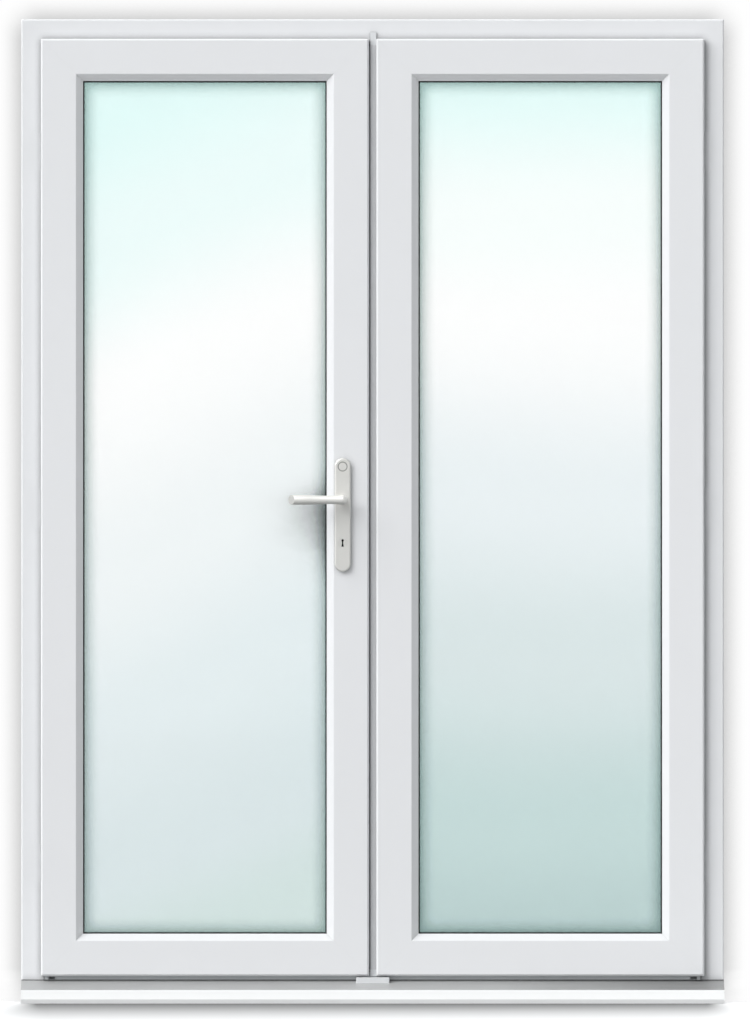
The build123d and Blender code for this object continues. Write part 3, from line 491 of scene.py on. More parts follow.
@dataclass(frozen=True)
class SealedGlass:
    """Float glass with a pale green tint and a painted sky reflection that grades up the pane, seen through a
    light haze; its borders darken, partly with the glass's green edge and partly with painted shade.
    """

    name: str
    stops: Stops
    low: Pair
    high: Pair
    lean: float = 0.0
    haze: float = 0.14
    cover: float = 0.0165
    edge_reach: float = 0.040
    edge_fall: float = 2.2
    edge_shade: Colour = (0.46, 0.53, 0.52)
    face_y: float = 0.0
    lever: tuple[Vector, Vector] | None = None
    shade_reach: float = 0.12
    shade_range: Pair = (0.61, 0.83)
    shade_depth: float = 0.93
    shade_from: Point = (0.0, -0.71, 0.70)
    seal_shadow: float = 0.0022
    seal_shadow_dark: float = 0.6
    seal_shadow_soft: float = 0.6
    roughness: float = 0.02
    refraction: float = 1.5
    drift: float = 0.05
    drift_scale: float = 1.3
    drift_stretch: Point = (1.0, 1.0, 1.6)
    ripple_scale: float = 9.0
    ripple_stretch: Point = (1.0, 1.0, 0.4)
    ripple_depth: float = 0.01 * MM
    shade_samples: int = 16
    shade_drop: float = 0.45
    shade_full: float = 0.4
    skin: float = 0.5 * MM

    def build(self) -> Material:
        """Make the material.

        Returns:
            The finished material.
        """
        graph = Graph.named(self.name)
        at = graph.axes(graph.place())
        insets = self.insets(graph, at)
        leaned = graph.math("ADD", at["Z"], graph.math("MULTIPLY", at["X"], self.lean))
        drift = graph.noise(graph.stretched(self.drift_stretch), self.drift_scale, 1.0)
        waved = graph.math("ADD", leaned, graph.spread(drift, -self.drift, self.drift))
        offset = self.lean * (self.low[0] + self.high[0]) / 2
        height = graph.spread(waved, 0.0, 1.0, self.low[1] + offset, self.high[1] + offset)
        # Painted sky reflection over the glass's pale green, graded up the pane
        painted_sky = graph.ramp(height, self.stops)
        # Darker and greener towards the border: partly the glass's green edge, partly painted shade from the
        # rebate
        bordered = graph.blend(self.edge_factor(graph, insets), painted_sky, times(self.edge_shade, 1.0), "MULTIPLY")
        # Painted shade: a dark line along the seal, at the border of what shows
        nearest = graph.math("MINIMUM", *insets)
        seal_shadow = graph.spread(nearest, self.seal_shadow_dark, 0.0, self.seal_shadow * self.seal_shadow_soft, self.seal_shadow)
        colour = graph.blend(seal_shadow, bordered, BLACK)
        look = self.pane(graph, colour)
        if self.lever is not None:
            dark = graph.blend(self.shade_factor(graph, at), colour, BLACK)
            look = graph.feed("MixShader", self.by_lever(graph, at), look, self.pane(graph, dark))
        return graph.surface(look)

    def pane(self, graph: Graph, colour: Socket) -> Socket:
        """Glass of one colour.

        Args:
            graph: The material being made.
            colour: The glass's colour.

        Returns:
            The shader's socket.
        """
        ripple = graph.noise(graph.stretched(self.ripple_stretch), self.ripple_scale, 1.0)
        return graph.fill("BsdfPrincipled", IOR=self.refraction, Transmission_Weight=1.0 - self.haze,
                          Roughness=self.roughness, Base_Color=colour,
                          Normal=graph.bump(ripple, self.ripple_depth))

    def edge_factor(self, graph: Graph, insets: list[Socket]) -> Socket:
        """How near a point is to the pane's border.

        Args:
            graph: The material being made.
            insets: What insets gives.

        Returns:
            1 at the border of what shows, 0 well inside the pane.
        """
        clear = []
        for inset in insets:
            share = graph.spread(inset, 1.0, 0.0, 0.0, self.edge_reach)
            clear.append(graph.math("SUBTRACT", 1.0, graph.math("POWER", share, self.edge_fall)))
        return graph.math("SUBTRACT", 1.0, graph.math("MULTIPLY", *clear))

    def shade_factor(self, graph: Graph, at: dict[str, Socket]) -> Socket:
        """How much the lever in front of the glass shades it.

        Args:
            graph: The material being made.
            at: The point's coordinates.

        Returns:
            The darkness, 0 out of the lever's reach and on the pane's back.
        """
        turned = graph.feed("VectorTransform", graph.feed("CombineXYZ", *self.shade_from),
                            vector_type="NORMAL", convert_from="OBJECT", convert_to="WORLD")
        free = graph.openness(self.shade_reach, self.shade_samples, turned)
        shade = graph.spread(free, self.shade_depth, 0.0, *self.shade_range)
        outside = graph.spread(at["Y"], 1.0, 0.0, self.face_y + self.skin, self.face_y + 2 * self.skin)
        return graph.math("MULTIPLY", shade, outside)

    def by_lever(self, graph: Graph, at: dict[str, Socket]) -> Socket:
        """Whether a point is near enough to the lever for its shade.

        Args:
            graph: The material being made.
            at: The point's coordinates.

        Returns:
            1 round the lever, falling to 0 at the end of the shade's reach.
        """
        low, high = self.lever
        local = []
        for axis, drop in (("X", 0.0), ("Z", self.shade_drop)):
            start, end = getattr(low, axis.lower()), getattr(high, axis.lower())
            away = graph.off(at[axis], (start + end) / 2 - drop * self.shade_reach)
            full, gone = ((end - start) / 2 + self.shade_reach * share for share in (self.shade_full, 1.0))
            local.append(graph.spread(away, 1.0, 0.0, full, gone))
        return graph.math("MULTIPLY", *local)

    def insets(self, graph: Graph, at: dict[str, Socket]) -> list[Socket]:
        """How far inside the border of what shows a point is.

        Args:
            graph: The material being made.
            at: The point's coordinates.

        Returns:
            The distance in metres from the upright borders and from the level ones.
        """
        inside = []
        for axis, low, high in zip("XZ", self.low, self.high):
            away = graph.off(at[axis], (low + high) / 2)
            inside.append(graph.math("SUBTRACT", (high - low) / 2 - self.cover, away))
        return inside


@dataclass(frozen=True)
class Palette:
    """Every finish of the doors, by the record's material slot."""

    pvc: Colour = srgb(236, 237, 239)
    # Painted highlight: the lever's satin metal is lighter than the plate's, which is the same metal
    handle: Colour = srgb(251, 250, 246)
    plate: Colour = srgb(238, 237, 233)
    # Painted highlight: the cill's white is lighter than the frame's, though it is the same PVC, so that its
    # nose reads as lit
    nose: Colour = srgb(252, 253, 253)
    clear: Stops = ((0.0, (0.97, 0.985, 0.98)), (1.0, (0.98, 0.99, 0.985)))
    # Painted sky reflections on the outer panes, over the glass's pale green, from each pane's foot to its
    # head
    left_painted_sky: Stops = (
        (0.0, srgb(217, 231, 229)), (0.12, srgb(224, 234, 236)), (0.30, srgb(232, 240, 242)),
        (0.48, srgb(243, 247, 248)), (0.68, srgb(255, 255, 255)), (0.86, srgb(240, 253, 252)),
        (1.0, srgb(231, 253, 251)))
    left_lean: float = -0.45
    right_painted_sky: Stops = (
        (0.0, srgb(193, 213, 212)), (0.14, srgb(204, 223, 222)), (0.33, srgb(222, 232, 233)),
        (0.52, srgb(237, 243, 245)), (0.72, srgb(255, 255, 255)), (0.84, srgb(250, 255, 254)),
        (1.0, srgb(231, 253, 251)))

    @property
    def moulded(self) -> dict[str, float]:
        """What the profiles' white PVC has besides its colour, painted crevice shade among it."""
        return {"roughness": 0.34, "wander": 0.015, "wander_scale": 3.0, "crevice_shade": 0.38}

    @property
    def satin(self) -> dict[str, float]:
        """What the handles' satin metal has besides its colour."""
        return {"roughness": 0.46, "metallic": 0.6, "specular": 0.6, "grain_scale": 1800.0,
                "wander": 0.03, "wander_scale": 22.0, "edge": 0.0011}

    def plain(self) -> dict[str, Finish]:
        """The finishes that need no sizes of the piece they dress.

        Returns:
            Slot name to finish.
        """
        finishes = (
            Finish("white_pvc", self.pvc, **self.moulded),
            Finish("white_moulding", srgb(224, 226, 228), 0.42, grain_scale=1400.0),
            Galvanised("galvanised_steel", srgb(176, 180, 183), 0.42, metallic=0.85),
            Finish("mill_aluminium", srgb(226, 229, 231), 0.4, metallic=0.3, stretch=(0.02, 1.0, 1.0),
                   grain_depth=0.00005),
            Finish("spacer_metal", srgb(176, 178, 179), 0.45, metallic=0.8, grain_scale=500.0),
            Finish("black_rubber", srgb(22, 28, 28), 0.55, grain_scale=1600.0, specular=0.35),
            Finish("grey_rubber", srgb(186, 188, 190), 0.62, grain_scale=1600.0, specular=0.35),
            Finish("packer_plastic", srgb(70, 116, 160), 0.5),
            Finish("hinge_enamel", srgb(228, 230, 231), 0.3, grain_scale=600.0),
            Finish("plain_steel", srgb(196, 197, 196), 0.3, metallic=1.0, stretch=(1.0, 1.0, 0.05)),
            Finish("lock_steel", srgb(200, 200, 197), 0.36, metallic=0.9, stretch=(1.0, 1.0, 0.03),
                   grain_depth=0.00004),
            SatinLever("satin_handle", self.handle, **self.satin),
            Finish("key_metal", times(self.plate, 0.96)[:3], **self.satin),
        )
        return {finish.name: finish for finish in finishes}


def circle(radius: float, sides: int) -> Outline:
    """The corners of a regular ring, anticlockwise."""
    angles = [2 * math.pi * k / sides for k in range(sides)]
    return [(radius * math.cos(a), radius * math.sin(a)) for a in angles]


def scaled(outline: Outline, factor: float) -> Outline:
    """An outline made smaller or larger about its middle."""
    return [(x * factor, y * factor) for x, y in outline]


def ring(mesh: Mesh, place: Matrix, outline: Outline, height: float) -> Loop:
    """A closed loop of vertices at a height over a place."""
    return [mesh.verts.new(place @ Vector((x, y, height))) for x, y in outline]


def band(mesh: Mesh, low: Loop, high: Loop) -> None:
    """The faces between two loops."""
    for corners in zip(low, low[1:] + low[:1], high[1:] + high[:1], high):
        mesh.faces.new(corners)


@dataclass
class Screw:
    """A countersunk screw's head with a cross recess, made as one closed mesh."""

    radius: float = 3.6 * MM
    rise: float = 0.35 * MM
    sunk: float = 0.1 * MM
    shoulder: float = 0.86
    rim: float = 0.45
    arm: float = 1.9 * MM
    arm_half: float = 0.42 * MM
    depth: float = 1.1 * MM
    taper: float = 0.6
    sides: int = 28

    def cross(self) -> Outline:
        """The recess's outline.

        Returns:
            Its corners, anticlockwise.
        """
        a, b = self.arm, self.arm_half
        quarter = [(a, -b), (a, b), (b, b)]
        turns = [(1, 0, 0, 1), (0, -1, 1, 0), (-1, 0, 0, -1), (0, 1, -1, 0)]
        return [(x * c + y * d, x * e + y * f) for c, d, e, f in turns for x, y in quarter]

    def add_to(self, mesh: Mesh, place: Matrix) -> None:
        """Add one head to a mesh.

        Args:
            mesh: The mesh that takes it.
            place: Where the head stands; its own Z points out of the surface.
        """
        outside = circle(self.radius, self.sides)
        foot = ring(mesh, place, outside, -self.sunk)
        rim = ring(mesh, place, outside, self.rise * self.rim)
        top = ring(mesh, place, scaled(outside, self.shoulder), self.rise)
        mouth = ring(mesh, place, self.cross(), self.rise)
        floor = ring(mesh, place, scaled(self.cross(), self.taper), self.rise - self.depth)
        for low, high in ((foot, rim), (rim, top), (floor, mouth)):
            band(mesh, low, high)
        mesh.faces.new(floor)
        edges = []
        for loop in (top, mouth):
            for pair in zip(loop, loop[1:] + loop[:1]):
                edges.append(mesh.edges.get(pair) or mesh.edges.new(pair))
        bmesh.ops.triangle_fill(mesh, edges=edges, use_beauty=True)


def finish_mesh(name: str, mesh: Mesh, body: str,
                material: Material, smooth: float = 35.0) -> bpy.types.Object:
    """Turn a mesh into a piece that rides on a body.

    Args:
        name: The piece's name.
        mesh: Its mesh, which is freed.
        body: The body that it rides on.
        material: Its material.
        smooth: Edges flatter than this many degrees are shaded smooth.

    Returns:
        The new object.
    """
    bmesh.ops.recalc_face_normals(mesh, faces=mesh.faces)
    data = bpy.data.meshes.new(name)
    mesh.to_mesh(data)
    mesh.free()
    data.materials.append(material)
    piece = bpy.data.objects.new(name, data)
    bpy.context.scene.collection.objects.link(piece)
    data.shade_smooth()
    data.set_sharp_from_angle(angle=math.radians(smooth))
    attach(piece, body)
    return piece


def standing(point: Vector, outward: Vector) -> Matrix:
    """The frame at a point whose Z is the given direction."""
    return Matrix.Translation(point) @ outward.to_track_quat("Z", "Y").to_matrix().to_4x4()


@dataclass
class ScrewRow:
    """Screw heads of one kind that stand on one face of one body."""

    name: str
    body: str
    outward: Point
    points: list[Vector]
    screw: Screw
    slot: str = "plain_steel"
    twist: float = 23.0

    def build(self, material: Material) -> bpy.types.Object:
        """Make the heads as one piece.

        Args:
            material: The screws' material.

        Returns:
            The new object.
        """
        mesh = bmesh.new()
        for count, point in enumerate(self.points):
            turn = Matrix.Rotation(math.radians(self.twist * count % 90.0), 4, "Z")
            self.screw.add_to(mesh, standing(point, Vector(self.outward)) @ turn)
        return finish_mesh(self.name, mesh, self.body, material)


@dataclass
class Hardware:
    """The screws, caps, painted keyhole shade and painted shadow line that finish the hinges, the lock and
    the frame.
    """

    materials: dict[str, Material]
    made: list[bpy.types.Object] = field(default_factory=list)
    same_point: float = 0.001 * MM
    jamb_face: float = 0.697
    jamb_depths: Pair = (12 * MM, 34 * MM)
    leaf_face: float = 0.691
    leaf_depths: Pair = (8 * MM, 28 * MM)
    hinge_end: float = 9 * MM
    hinge_screw: Screw = field(default_factory=lambda: Screw(3.3 * MM))
    faceplate_screw: Screw = field(default_factory=lambda: Screw(3.4 * MM))
    keep_screw: Screw = field(default_factory=lambda: Screw(3.2 * MM))
    plate_screw: Screw = field(default_factory=lambda: Screw(4.3 * MM))
    faceplate_count: int = 8
    faceplate_end: float = 20 * MM
    bolt_room: float = 10 * MM
    keep_end: float = 6 * MM
    cross_keep_end: float = 8 * MM
    cross_keep_shift: float = 1 * MM
    cap_rings: tuple[Pair, ...] = ((6.6, 0.0), (6.6, 0.7), (5.6, 1.3), (3.2, 1.6))
    cap_top: float = 1.7 * MM
    cap_sides: int = 32
    cap_heights: tuple[float, ...] = (0.424, 0.824, 1.324, 1.724)
    cap_face: float = 0.700
    cap_depth: float = 0.035
    shadow_line_reach: float = 0.8 * MM
    shadow_line_rise: float = 1.3 * MM
    shadow_line_end: float = 0.5 * MM
    shadow_line_sunk: float = 0.1 * MM
    shadow_line_round: float = 0.25 * MM
    keyway: Vector = field(default_factory=lambda: Vector((4.9, 0.8, 15.8)) * MM)
    keyway_in: float = 1.0 * MM
    keyway_round: float = 0.15 * MM

    def parts_of(self, node: str) -> list[tuple[Vector, Vector]]:
        """The box of each separate solid in a node, from the bottom up.

        Args:
            node: The node's name.

        Returns:
            Lowest and highest corner of each solid.
        """
        mesh = bmesh.new()
        mesh.from_mesh(frame["nodes"][node].data)
        bmesh.ops.remove_doubles(mesh, verts=mesh.verts, dist=self.same_point)
        left, boxes = set(mesh.verts), []
        while left:
            stack, group = [left.pop()], []
            while stack:
                vertex = stack.pop()
                group.append(vertex.co.copy())
                for edge in vertex.link_edges:
                    other = edge.other_vert(vertex)
                    if other in left:
                        left.remove(other)
                        stack.append(other)
            low = Vector([min(p[k] for p in group) for k in range(3)])
            high = Vector([max(p[k] for p in group) for k in range(3)])
            boxes.append((low, high))
        mesh.free()
        return sorted(boxes, key=lambda pair: pair[0].z)

    def screws(self, name: str, body: str, outward: Point, points: list[Vector], screw: Screw) -> None:
        """Add a row of steel screw heads."""
        self.made.append(ScrewRow(name, body, outward, points, screw).build(self.materials["plain_steel"]))

    def hinges(self, side: Side) -> None:
        """Screw heads on the jamb plates and the leaf plates of one side.

        Args:
            side: Which leaf's hinges.
        """
        for plates, body, inward, face, depths in (
                ("hinge_jamb_plates", "frame", -side.value, self.jamb_face, self.jamb_depths),
                ("hinge_leaf_plates", side.word + "_leaf", side.value, self.leaf_face, self.leaf_depths)):
            spots = [Vector((side.value * face, high.y - depth, height))
                     for low, high in self.parts_of(f"{side.word}_{plates}")
                     for height in (low.z + self.hinge_end, high.z - self.hinge_end) for depth in depths]
            self.screws(f"{side.word}_{plates}_screws", body, (inward, 0, 0), spots, self.hinge_screw)

    def lock_screws(self) -> None:
        """Screw heads on the lock's faceplate and on the keeps."""
        low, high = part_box("lock_faceplate")
        middle_y = (low.y + high.y) / 2
        step = (high.z - low.z - 2 * self.faceplate_end) / (self.faceplate_count - 1)
        latch_low, latch_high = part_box("latch_bolt")
        bolt_low, bolt_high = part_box("deadbolt")
        heights = [low.z + self.faceplate_end + step * k for k in range(self.faceplate_count)]
        points = [Vector((high.x, middle_y, z)) for z in heights
                  if not bolt_low.z - self.bolt_room < z < latch_high.z + self.bolt_room]
        self.screws("faceplate_screws", "left_leaf", (1, 0, 0), points, self.faceplate_screw)
        low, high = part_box("lock_keeps")
        heights = [low.z + self.keep_end, (bolt_high.z + latch_low.z) / 2, high.z - self.keep_end]
        points = [Vector((low.x, middle_y, z)) for z in heights]
        self.screws("keep_screws", "right_leaf", (-1, 0, 0), points, self.keep_screw)
        for node, direction in (("head_keep", -1), ("threshold_keep", 1)):
            low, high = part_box(node)
            face = low.z if direction < 0 else high.z
            ends = (low.x + self.cross_keep_end, (low.x + high.x) / 2 + self.cross_keep_shift,
                    high.x - self.cross_keep_end)
            points = [Vector((x, (low.y + high.y) / 2, face)) for x in ends]
            self.screws(node + "_screws", "frame", (0, 0, direction), points, self.keep_screw)

    def plate_screws(self) -> None:
        """Cross-recessed tops of the two long screws in the inner handle plate."""
        tops = [Vector(((low.x + high.x) / 2, high.y, (low.z + high.z) / 2))
                for low, high in self.parts_of("handle_screws")]
        self.screws("handle_screw_heads", "left_leaf", (0, 1, 0), tops, self.plate_screw)

    def fixing_caps(self) -> None:
        """White caps over the frame's fixings, in the rebate."""
        mesh = bmesh.new()
        for side in Side:
            for height in self.cap_heights:
                point = Vector((side.value * self.cap_face, self.cap_depth, height))
                self.cap(mesh, standing(point, Vector((-side.value, 0, 0))))
        self.made.append(finish_mesh("fixing_caps", mesh, "frame",
                                     self.materials["white_moulding"]))

    def cap(self, mesh: Mesh, place: Matrix) -> None:
        """Turn one cap as a closed round form.

        Args:
            mesh: The mesh that takes it.
            place: Where the cap stands.
        """
        rings = [ring(mesh, place, circle(radius * MM, self.cap_sides), height * MM)
                 for radius, height in self.cap_rings]
        for low, high in zip(rings, rings[1:]):
            band(mesh, low, high)
        tip, = ring(mesh, place, [(0.0, 0.0)], self.cap_top)
        for pair in zip(rings[-1], rings[-1][1:] + rings[-1][:1]):
            mesh.faces.new((*pair, tip))
        mesh.faces.new(rings[0][::-1])

    @staticmethod
    def block(mesh: Mesh, middle: Vector, size: Vector) -> None:
        """Add a box of a size round a point."""
        place = Matrix.Translation(middle) @ Matrix.Diagonal((*size, 1.0))
        bmesh.ops.create_cube(mesh, size=1.0, matrix=place)

    def foot_shadow_line(self) -> None:
        """A thin black strip, as painted shadow, along the line where the frame stands on the cill."""
        low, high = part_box("outer_frame")
        block_low, block_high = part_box("meeting_block")
        reach, rise, sunk = self.shadow_line_reach, self.shadow_line_rise, self.shadow_line_sunk
        mesh = bmesh.new()
        for start, end in ((low.x + self.shadow_line_end, block_low.x), (block_high.x, high.x - self.shadow_line_end)):
            middle = Vector(((start + end) / 2, low.y - reach / 2 + sunk, low.z + rise / 2 - sunk))
            self.block(mesh, middle, Vector((end - start, reach, rise)))
        bmesh.ops.bevel(mesh, geom=mesh.edges[:], offset=self.shadow_line_round, segments=2, affect="EDGES")
        self.made.append(finish_mesh("foot_shadow_line", mesh, "frame",
                                     self.materials["black_rubber"]))

    def keyway_shades(self) -> None:
        """Dark blocks at the bottoms of the two keyholes, as painted shade, which turn with the key plug."""
        dark = Finish("keyway_painted_shade", srgb(14, 13, 12), 0.7, specular=0.2).build()
        low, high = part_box("key_plug")
        mesh = bmesh.new()
        for y in (low.y + self.keyway_in, high.y - self.keyway_in):
            self.block(mesh, Vector(((low.x + high.x) / 2, y, (low.z + high.z) / 2)), self.keyway)
        bmesh.ops.bevel(mesh, geom=mesh.edges[:], offset=self.keyway_round, segments=1, affect="EDGES")
        self.made.append(finish_mesh("keyway_shadow", mesh, "key", dark))


@dataclass
class Studio:
    """Pale floor, white backdrop, lamps and camera."""

    wall_y: float = 0.118
    face_y: float = -0.02
    clip: Pair = (0.5, 300.0)
    floor_half: float = 60.0
    paper: Colour = srgb(238, 239, 240)
    sky: float = 0.49
    sky_tint: tuple[float, float, float, float] = (0.97, 0.99, 1.0, 1.0)
    floor_bounce: float = 0.40
    through_glass: float = 1.2
    backdrop_shade_reach: float = 0.07
    backdrop_shade_dark: float = 0.28
    backdrop_shade_lift: float = 0.5
    backdrop_shade_samples: int = 16
    backdrop_shade_range: Pair = (0.5, 0.98)
    floor_lit: float = 0.6
    floor_glow: float = 0.5
    shade_reach: Pair = (0.050, 1.95)
    shade_inset: float = 0.030
    shade_taper: float = 0.080
    shade_widening: float = 0.16
    shade_behind: float = 6.0
    shade_fall: float = 1.35
    shade_dark: float = 0.22
    foot_glow: float = 0.37
    foot_reach: float = 0.12
    key_strength: float = 2.8
    key_from: Vector = field(default_factory=lambda: Vector((-0.60, -0.52, 0.62)))
    key_spread: float = 55.0
    back_strength: float = 1.9
    back_from: Vector = field(default_factory=lambda: Vector((0.45, 0.75, 0.55)))
    lens: float = 800.0
    sensor: float = 36.0
    pixel: float = 2.134 * MM
    frame_height: int = 1024
    aim: Vector = field(default_factory=lambda: Vector((0.0051, 0.0, 1.0481)))

    def camera(self) -> None:
        """Set up the camera, square on to the doors."""
        data = bpy.data.cameras.new("camera")
        data.lens = self.lens
        data.sensor_width = self.sensor
        distance = self.frame_height * self.pixel * self.lens / self.sensor
        data.clip_start, data.clip_end = self.clip
        camera = bpy.data.objects.new("camera", data)
        camera.location = self.aim + Vector((0.0, self.face_y - distance, 0.0))
        camera.rotation_euler = (math.pi / 2, 0.0, 0.0)
        bpy.context.scene.collection.objects.link(camera)
        bpy.context.scene.camera = camera
        log.info("camera stands %.2f m away", distance)

    def lamp(self, name: str, strength: float, towards: Vector, spread: float) -> None:
        """Add a large soft lamp far away.

        Args:
            name: The lamp's name.
            strength: Its strength.
            towards: The direction from the doors to the lamp.
            spread: Its apparent size, in degrees.
        """
        data = bpy.data.lights.new(name, "SUN")
        data.energy = strength
        data.angle = math.radians(spread)
        lamp = bpy.data.objects.new(name, data)
        lamp.rotation_euler = towards.to_track_quat("Z", "Y").to_euler()
        bpy.context.scene.collection.objects.link(lamp)

    def world(self) -> None:
        """Even light from all sides, with a brighter sky behind what the camera sees."""
        world = bpy.data.worlds.new("studio")
        bpy.context.scene.world = world
        graph = Graph(world, "OutputWorld")
        dim = graph.fill("Background", Color=self.sky_tint, Strength=self.sky)
        bright = graph.fill("Background", Strength=1.0)
        path = graph.add("LightPath").outputs
        seen = graph.math("MAXIMUM", path["Is Camera Ray"], path["Is Transmission Ray"])
        graph.surface(graph.feed("MixShader", seen, dim, bright))

    def sheet(self, name: str, corners: list[Point], material: Material) -> None:
        """Add one flat sheet of the studio.

        Args:
            name: The sheet's name.
            corners: Its four corners.
            material: Its material.
        """
        data = bpy.data.meshes.new(name)
        data.from_pydata(corners, [], [(0, 1, 2, 3)])
        data.materials.append(material)
        sheet = bpy.data.objects.new(name, data)
        bpy.context.scene.collection.objects.link(sheet)

    def floor_material(self) -> Material:
        """A pale floor that carries a painted soft shadow of the doors and throws little light back up, apart
        from a painted glow near the cill's foot.

        Returns:
            The finished material.
        """
        graph = Graph.named("studio_floor")
        # Painted shadow in front of and behind the doors' foot
        shade = self.contact_shade(graph)
        lit = graph.fill("BsdfDiffuse", Color=graph.blend(shade, BLACK, times(self.paper, self.floor_lit)))
        glow = graph.fill("Emission", Strength=graph.math("MULTIPLY", shade, self.floor_glow))
        seen = graph.feed("AddShader", lit, glow)
        dimmed = graph.fill("BsdfDiffuse", Color=times(self.paper, self.floor_bounce))
        # Painted light: near the cill's foot the floor glows for bounced rays, lighting the cill's underside
        foot = graph.spread(self.off_foot(graph)[0], self.foot_glow, 0.0, 0.0, self.foot_reach)
        thrown = graph.feed("AddShader", dimmed, graph.fill("Emission", Strength=foot))
        camera = graph.add("LightPath").outputs["Is Camera Ray"]
        return graph.surface(graph.feed("MixShader", camera, thrown, seen))

    def contact_shade(self, graph: Graph) -> Socket:
        """How light the floor is near the doors' foot, as a painted shadow.

        Args:
            graph: The floor's material.

        Returns:
            1 on the open floor, less close to the foot.
        """
        deep, beside = self.off_foot(graph)
        deep_share = graph.math("DIVIDE", deep, self.shade_reach[1])
        wide = graph.math("ADD", beside, graph.math("MULTIPLY", deep_share, self.shade_taper))
        widened = graph.math("MULTIPLY", deep_share, self.shade_widening)
        reach = graph.math("ADD", widened, self.shade_reach[0])
        wide_share = graph.math("DIVIDE", graph.math("MAXIMUM", wide, 0.0), reach)
        squares = graph.math("ADD", graph.math("MULTIPLY", deep_share, deep_share),
                             graph.math("MULTIPLY", wide_share, wide_share))
        cover = graph.math("POWER", graph.spread(graph.math("SQRT", squares), 1.0, 0.0), self.shade_fall)
        return graph.spread(cover, 1.0, self.shade_dark)

    def off_foot(self, graph: Graph) -> tuple[Socket, Socket]:
        """How far a point of the floor is from the doors' foot.

        Args:
            graph: The floor's material.

        Returns:
            The distance before the cill, or several times the distance behind it, and the distance beside
            the inset end of its shade.
        """
        low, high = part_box("cill")
        at = graph.axes(graph.place())
        before = graph.math("SUBTRACT", low.y, at["Y"])
        behind = graph.math("MULTIPLY", graph.math("SUBTRACT", at["Y"], high.y), self.shade_behind)
        deep = graph.math("MAXIMUM", graph.math("MAXIMUM", before, behind), 0.0)
        beside = graph.math("SUBTRACT", graph.math("ABSOLUTE", at["X"]), high.x - self.shade_inset)
        return deep, beside

    def wall_material(self) -> Material:
        """A white backdrop seen from the front only, with a painted shadow round the doors, which lets light
        through to the doors' back.

        Returns:
            The finished material.
        """
        graph = Graph.named("studio_backdrop")
        # Painted shadow: the backdrop's glow dims where the doors stand close, less so near the floor
        lift = graph.spread(graph.axes(graph.place())["Z"], self.backdrop_shade_lift, 0.0, 0.0, self.backdrop_shade_reach)
        free = graph.math("ADD", graph.openness(self.backdrop_shade_reach, self.backdrop_shade_samples), lift)
        backdrop_shade = graph.fill("Emission", Strength=graph.spread(free, self.backdrop_shade_dark, 1.0, *self.backdrop_shade_range))
        white = graph.fill("Emission", Strength=self.through_glass)
        path = graph.add("LightPath").outputs
        through = graph.math("MAXIMUM", path["Is Transmission Ray"], path["Is Glossy Ray"])
        seen = graph.math("MAXIMUM", through, path["Is Camera Ray"])
        front = graph.math("SUBTRACT", 1.0, graph.add("NewGeometry").outputs["Backfacing"])
        looks = graph.feed("MixShader", through, backdrop_shade, white)
        clear = graph.feed("BsdfTransparent")
        return graph.surface(graph.feed("MixShader", graph.math("MULTIPLY", seen, front), clear, looks))

    def build(self) -> None:
        """Set up the whole studio."""
        bpy.context.scene.view_settings.view_transform = "Standard"
        self.camera()
        self.world()
        self.lamp("key", self.key_strength, self.key_from.normalized(), self.key_spread)
        self.lamp("back", self.back_strength, self.back_from.normalized(), self.key_spread)
        half, back = self.floor_half, self.wall_y
        ground = [(-half, -half, 0.0), (half, -half, 0.0), (half, half, 0.0), (-half, half, 0.0)]
        self.sheet("studio_floor", ground, self.floor_material())
        wall = [(-half, back, 0.0), (half, back, 0.0), (half, back, half), (-half, back, half)]
        self.sheet("studio_backdrop", wall, self.wall_material())


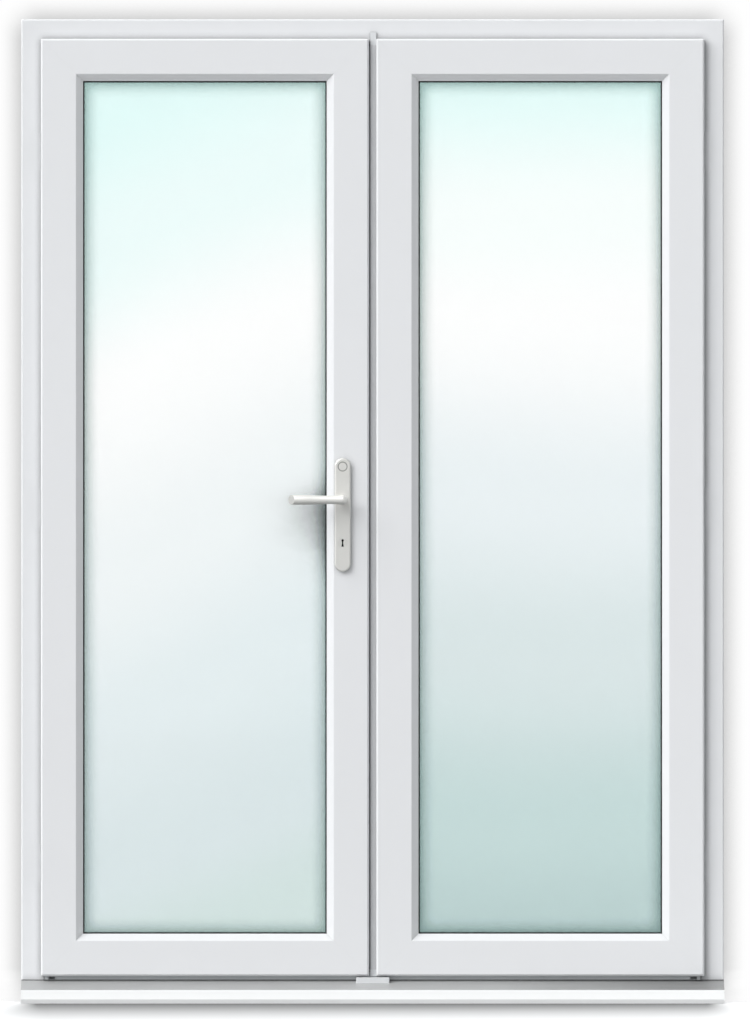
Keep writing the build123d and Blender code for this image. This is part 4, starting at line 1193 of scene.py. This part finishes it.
@dataclass
class Dressing:
    """Gives every node of the frame the finish of its slot, with its own sizes where they matter."""

    palette: Palette
    frame_crevice_shade: float = 0.45
    frame_reach: float = 0.017
    cill_crevice_shade: float = 0.08
    materials: dict[str, Material] = field(default_factory=dict)

    def slots(self) -> dict[str, str]:
        """Node name to material slot, as the record has them."""
        return {row["node"]: row["material_slot"] for row in frame["record"]["subparts"]}

    def glass(self, side: Side, pane: Pane) -> Material:
        """The glass of one pane.

        Args:
            side: Which leaf.
            pane: Which of its panes.

        Returns:
            The pane's material.
        """
        low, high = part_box(f"{side.word}_{pane.value}_pane")
        name, corners = f"{side.word}_{pane.value}_glass", ((low.x, low.z), (high.x, high.z))
        if pane is Pane.INNER:
            return SealedGlass(name, self.palette.clear, *corners, haze=0.02, edge_shade=(0.9, 0.93, 0.92),
                               roughness=0.0, seal_shadow_dark=0.0).build()
        if side is Side.RIGHT:
            return SealedGlass(name, self.palette.right_painted_sky, *corners, face_y=low.y).build()
        return SealedGlass(name, self.palette.left_painted_sky, *corners, lean=self.palette.left_lean, face_y=low.y,
                           lever=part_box("outer_lever")).build()

    def dress(self) -> None:
        """Assign a material to every node."""
        self.materials = {slot: finish.build() for slot, finish in self.palette.plain().items()}
        special: dict[str, Material] = {}
        for side in Side:
            for pane in Pane:
                special[f"{side.word}_{pane.value}_pane"] = self.glass(side, pane)
            low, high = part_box(side.word + "_leaf_frame")
            middle = ((low.x + high.x) / 2, (low.z + high.z) / 2)
            half = ((high.x - low.x) / 2, (high.z - low.z) / 2)
            welded = WeldedPvc(side.word + "_leaf_pvc", self.palette.pvc, middle=middle, half=half,
                               **self.palette.moulded).build()
            for piece in ("leaf_frame", "glazing_beads"):
                special[f"{side.word}_{piece}"] = welded
        ringed = RingedHandle("ringed_handle", self.palette.plate, **self.palette.satin)
        special["outer_handle_plate"] = ringed.build()
        # Painted crevice shade: deeper and wider on the outer frame, slighter on the cill
        deep = self.palette.moulded | {"crevice_shade": self.frame_crevice_shade, "crevice_shade_reach": self.frame_reach}
        special["outer_frame"] = Finish("frame_pvc", self.palette.pvc, **deep).build()
        shallow = self.palette.moulded | {"crevice_shade": self.cill_crevice_shade}
        for node in ("cill", "cill_end_caps"):
            special[node] = CillPvc(f"{node}_pvc", self.palette.nose, **shallow).build()
        for node, slot in self.slots().items():
            target = frame["nodes"][node]
            target.data.materials.clear()
            target.data.materials.append(special.get(node) or self.materials[slot])
            log.info("%s: %s", node, target.data.materials[0].name)


def main() -> None:
    """Dress the doors, add the small pieces, and set up the studio."""
    logging.basicConfig(level=logging.INFO, format="%(name)s: %(message)s")
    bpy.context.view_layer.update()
    dressing = Dressing(Palette())
    dressing.dress()
    hardware = Hardware(dressing.materials)
    for side in Side:
        hardware.hinges(side)
    hardware.lock_screws()
    hardware.plate_screws()
    hardware.fixing_caps()
    hardware.keyway_shades()
    hardware.foot_shadow_line()
    for piece in hardware.made:
        log.info("%s: %d faces", piece.name, len(piece.data.polygons))
    Studio().build()


if __name__ == "__main__":
    main()
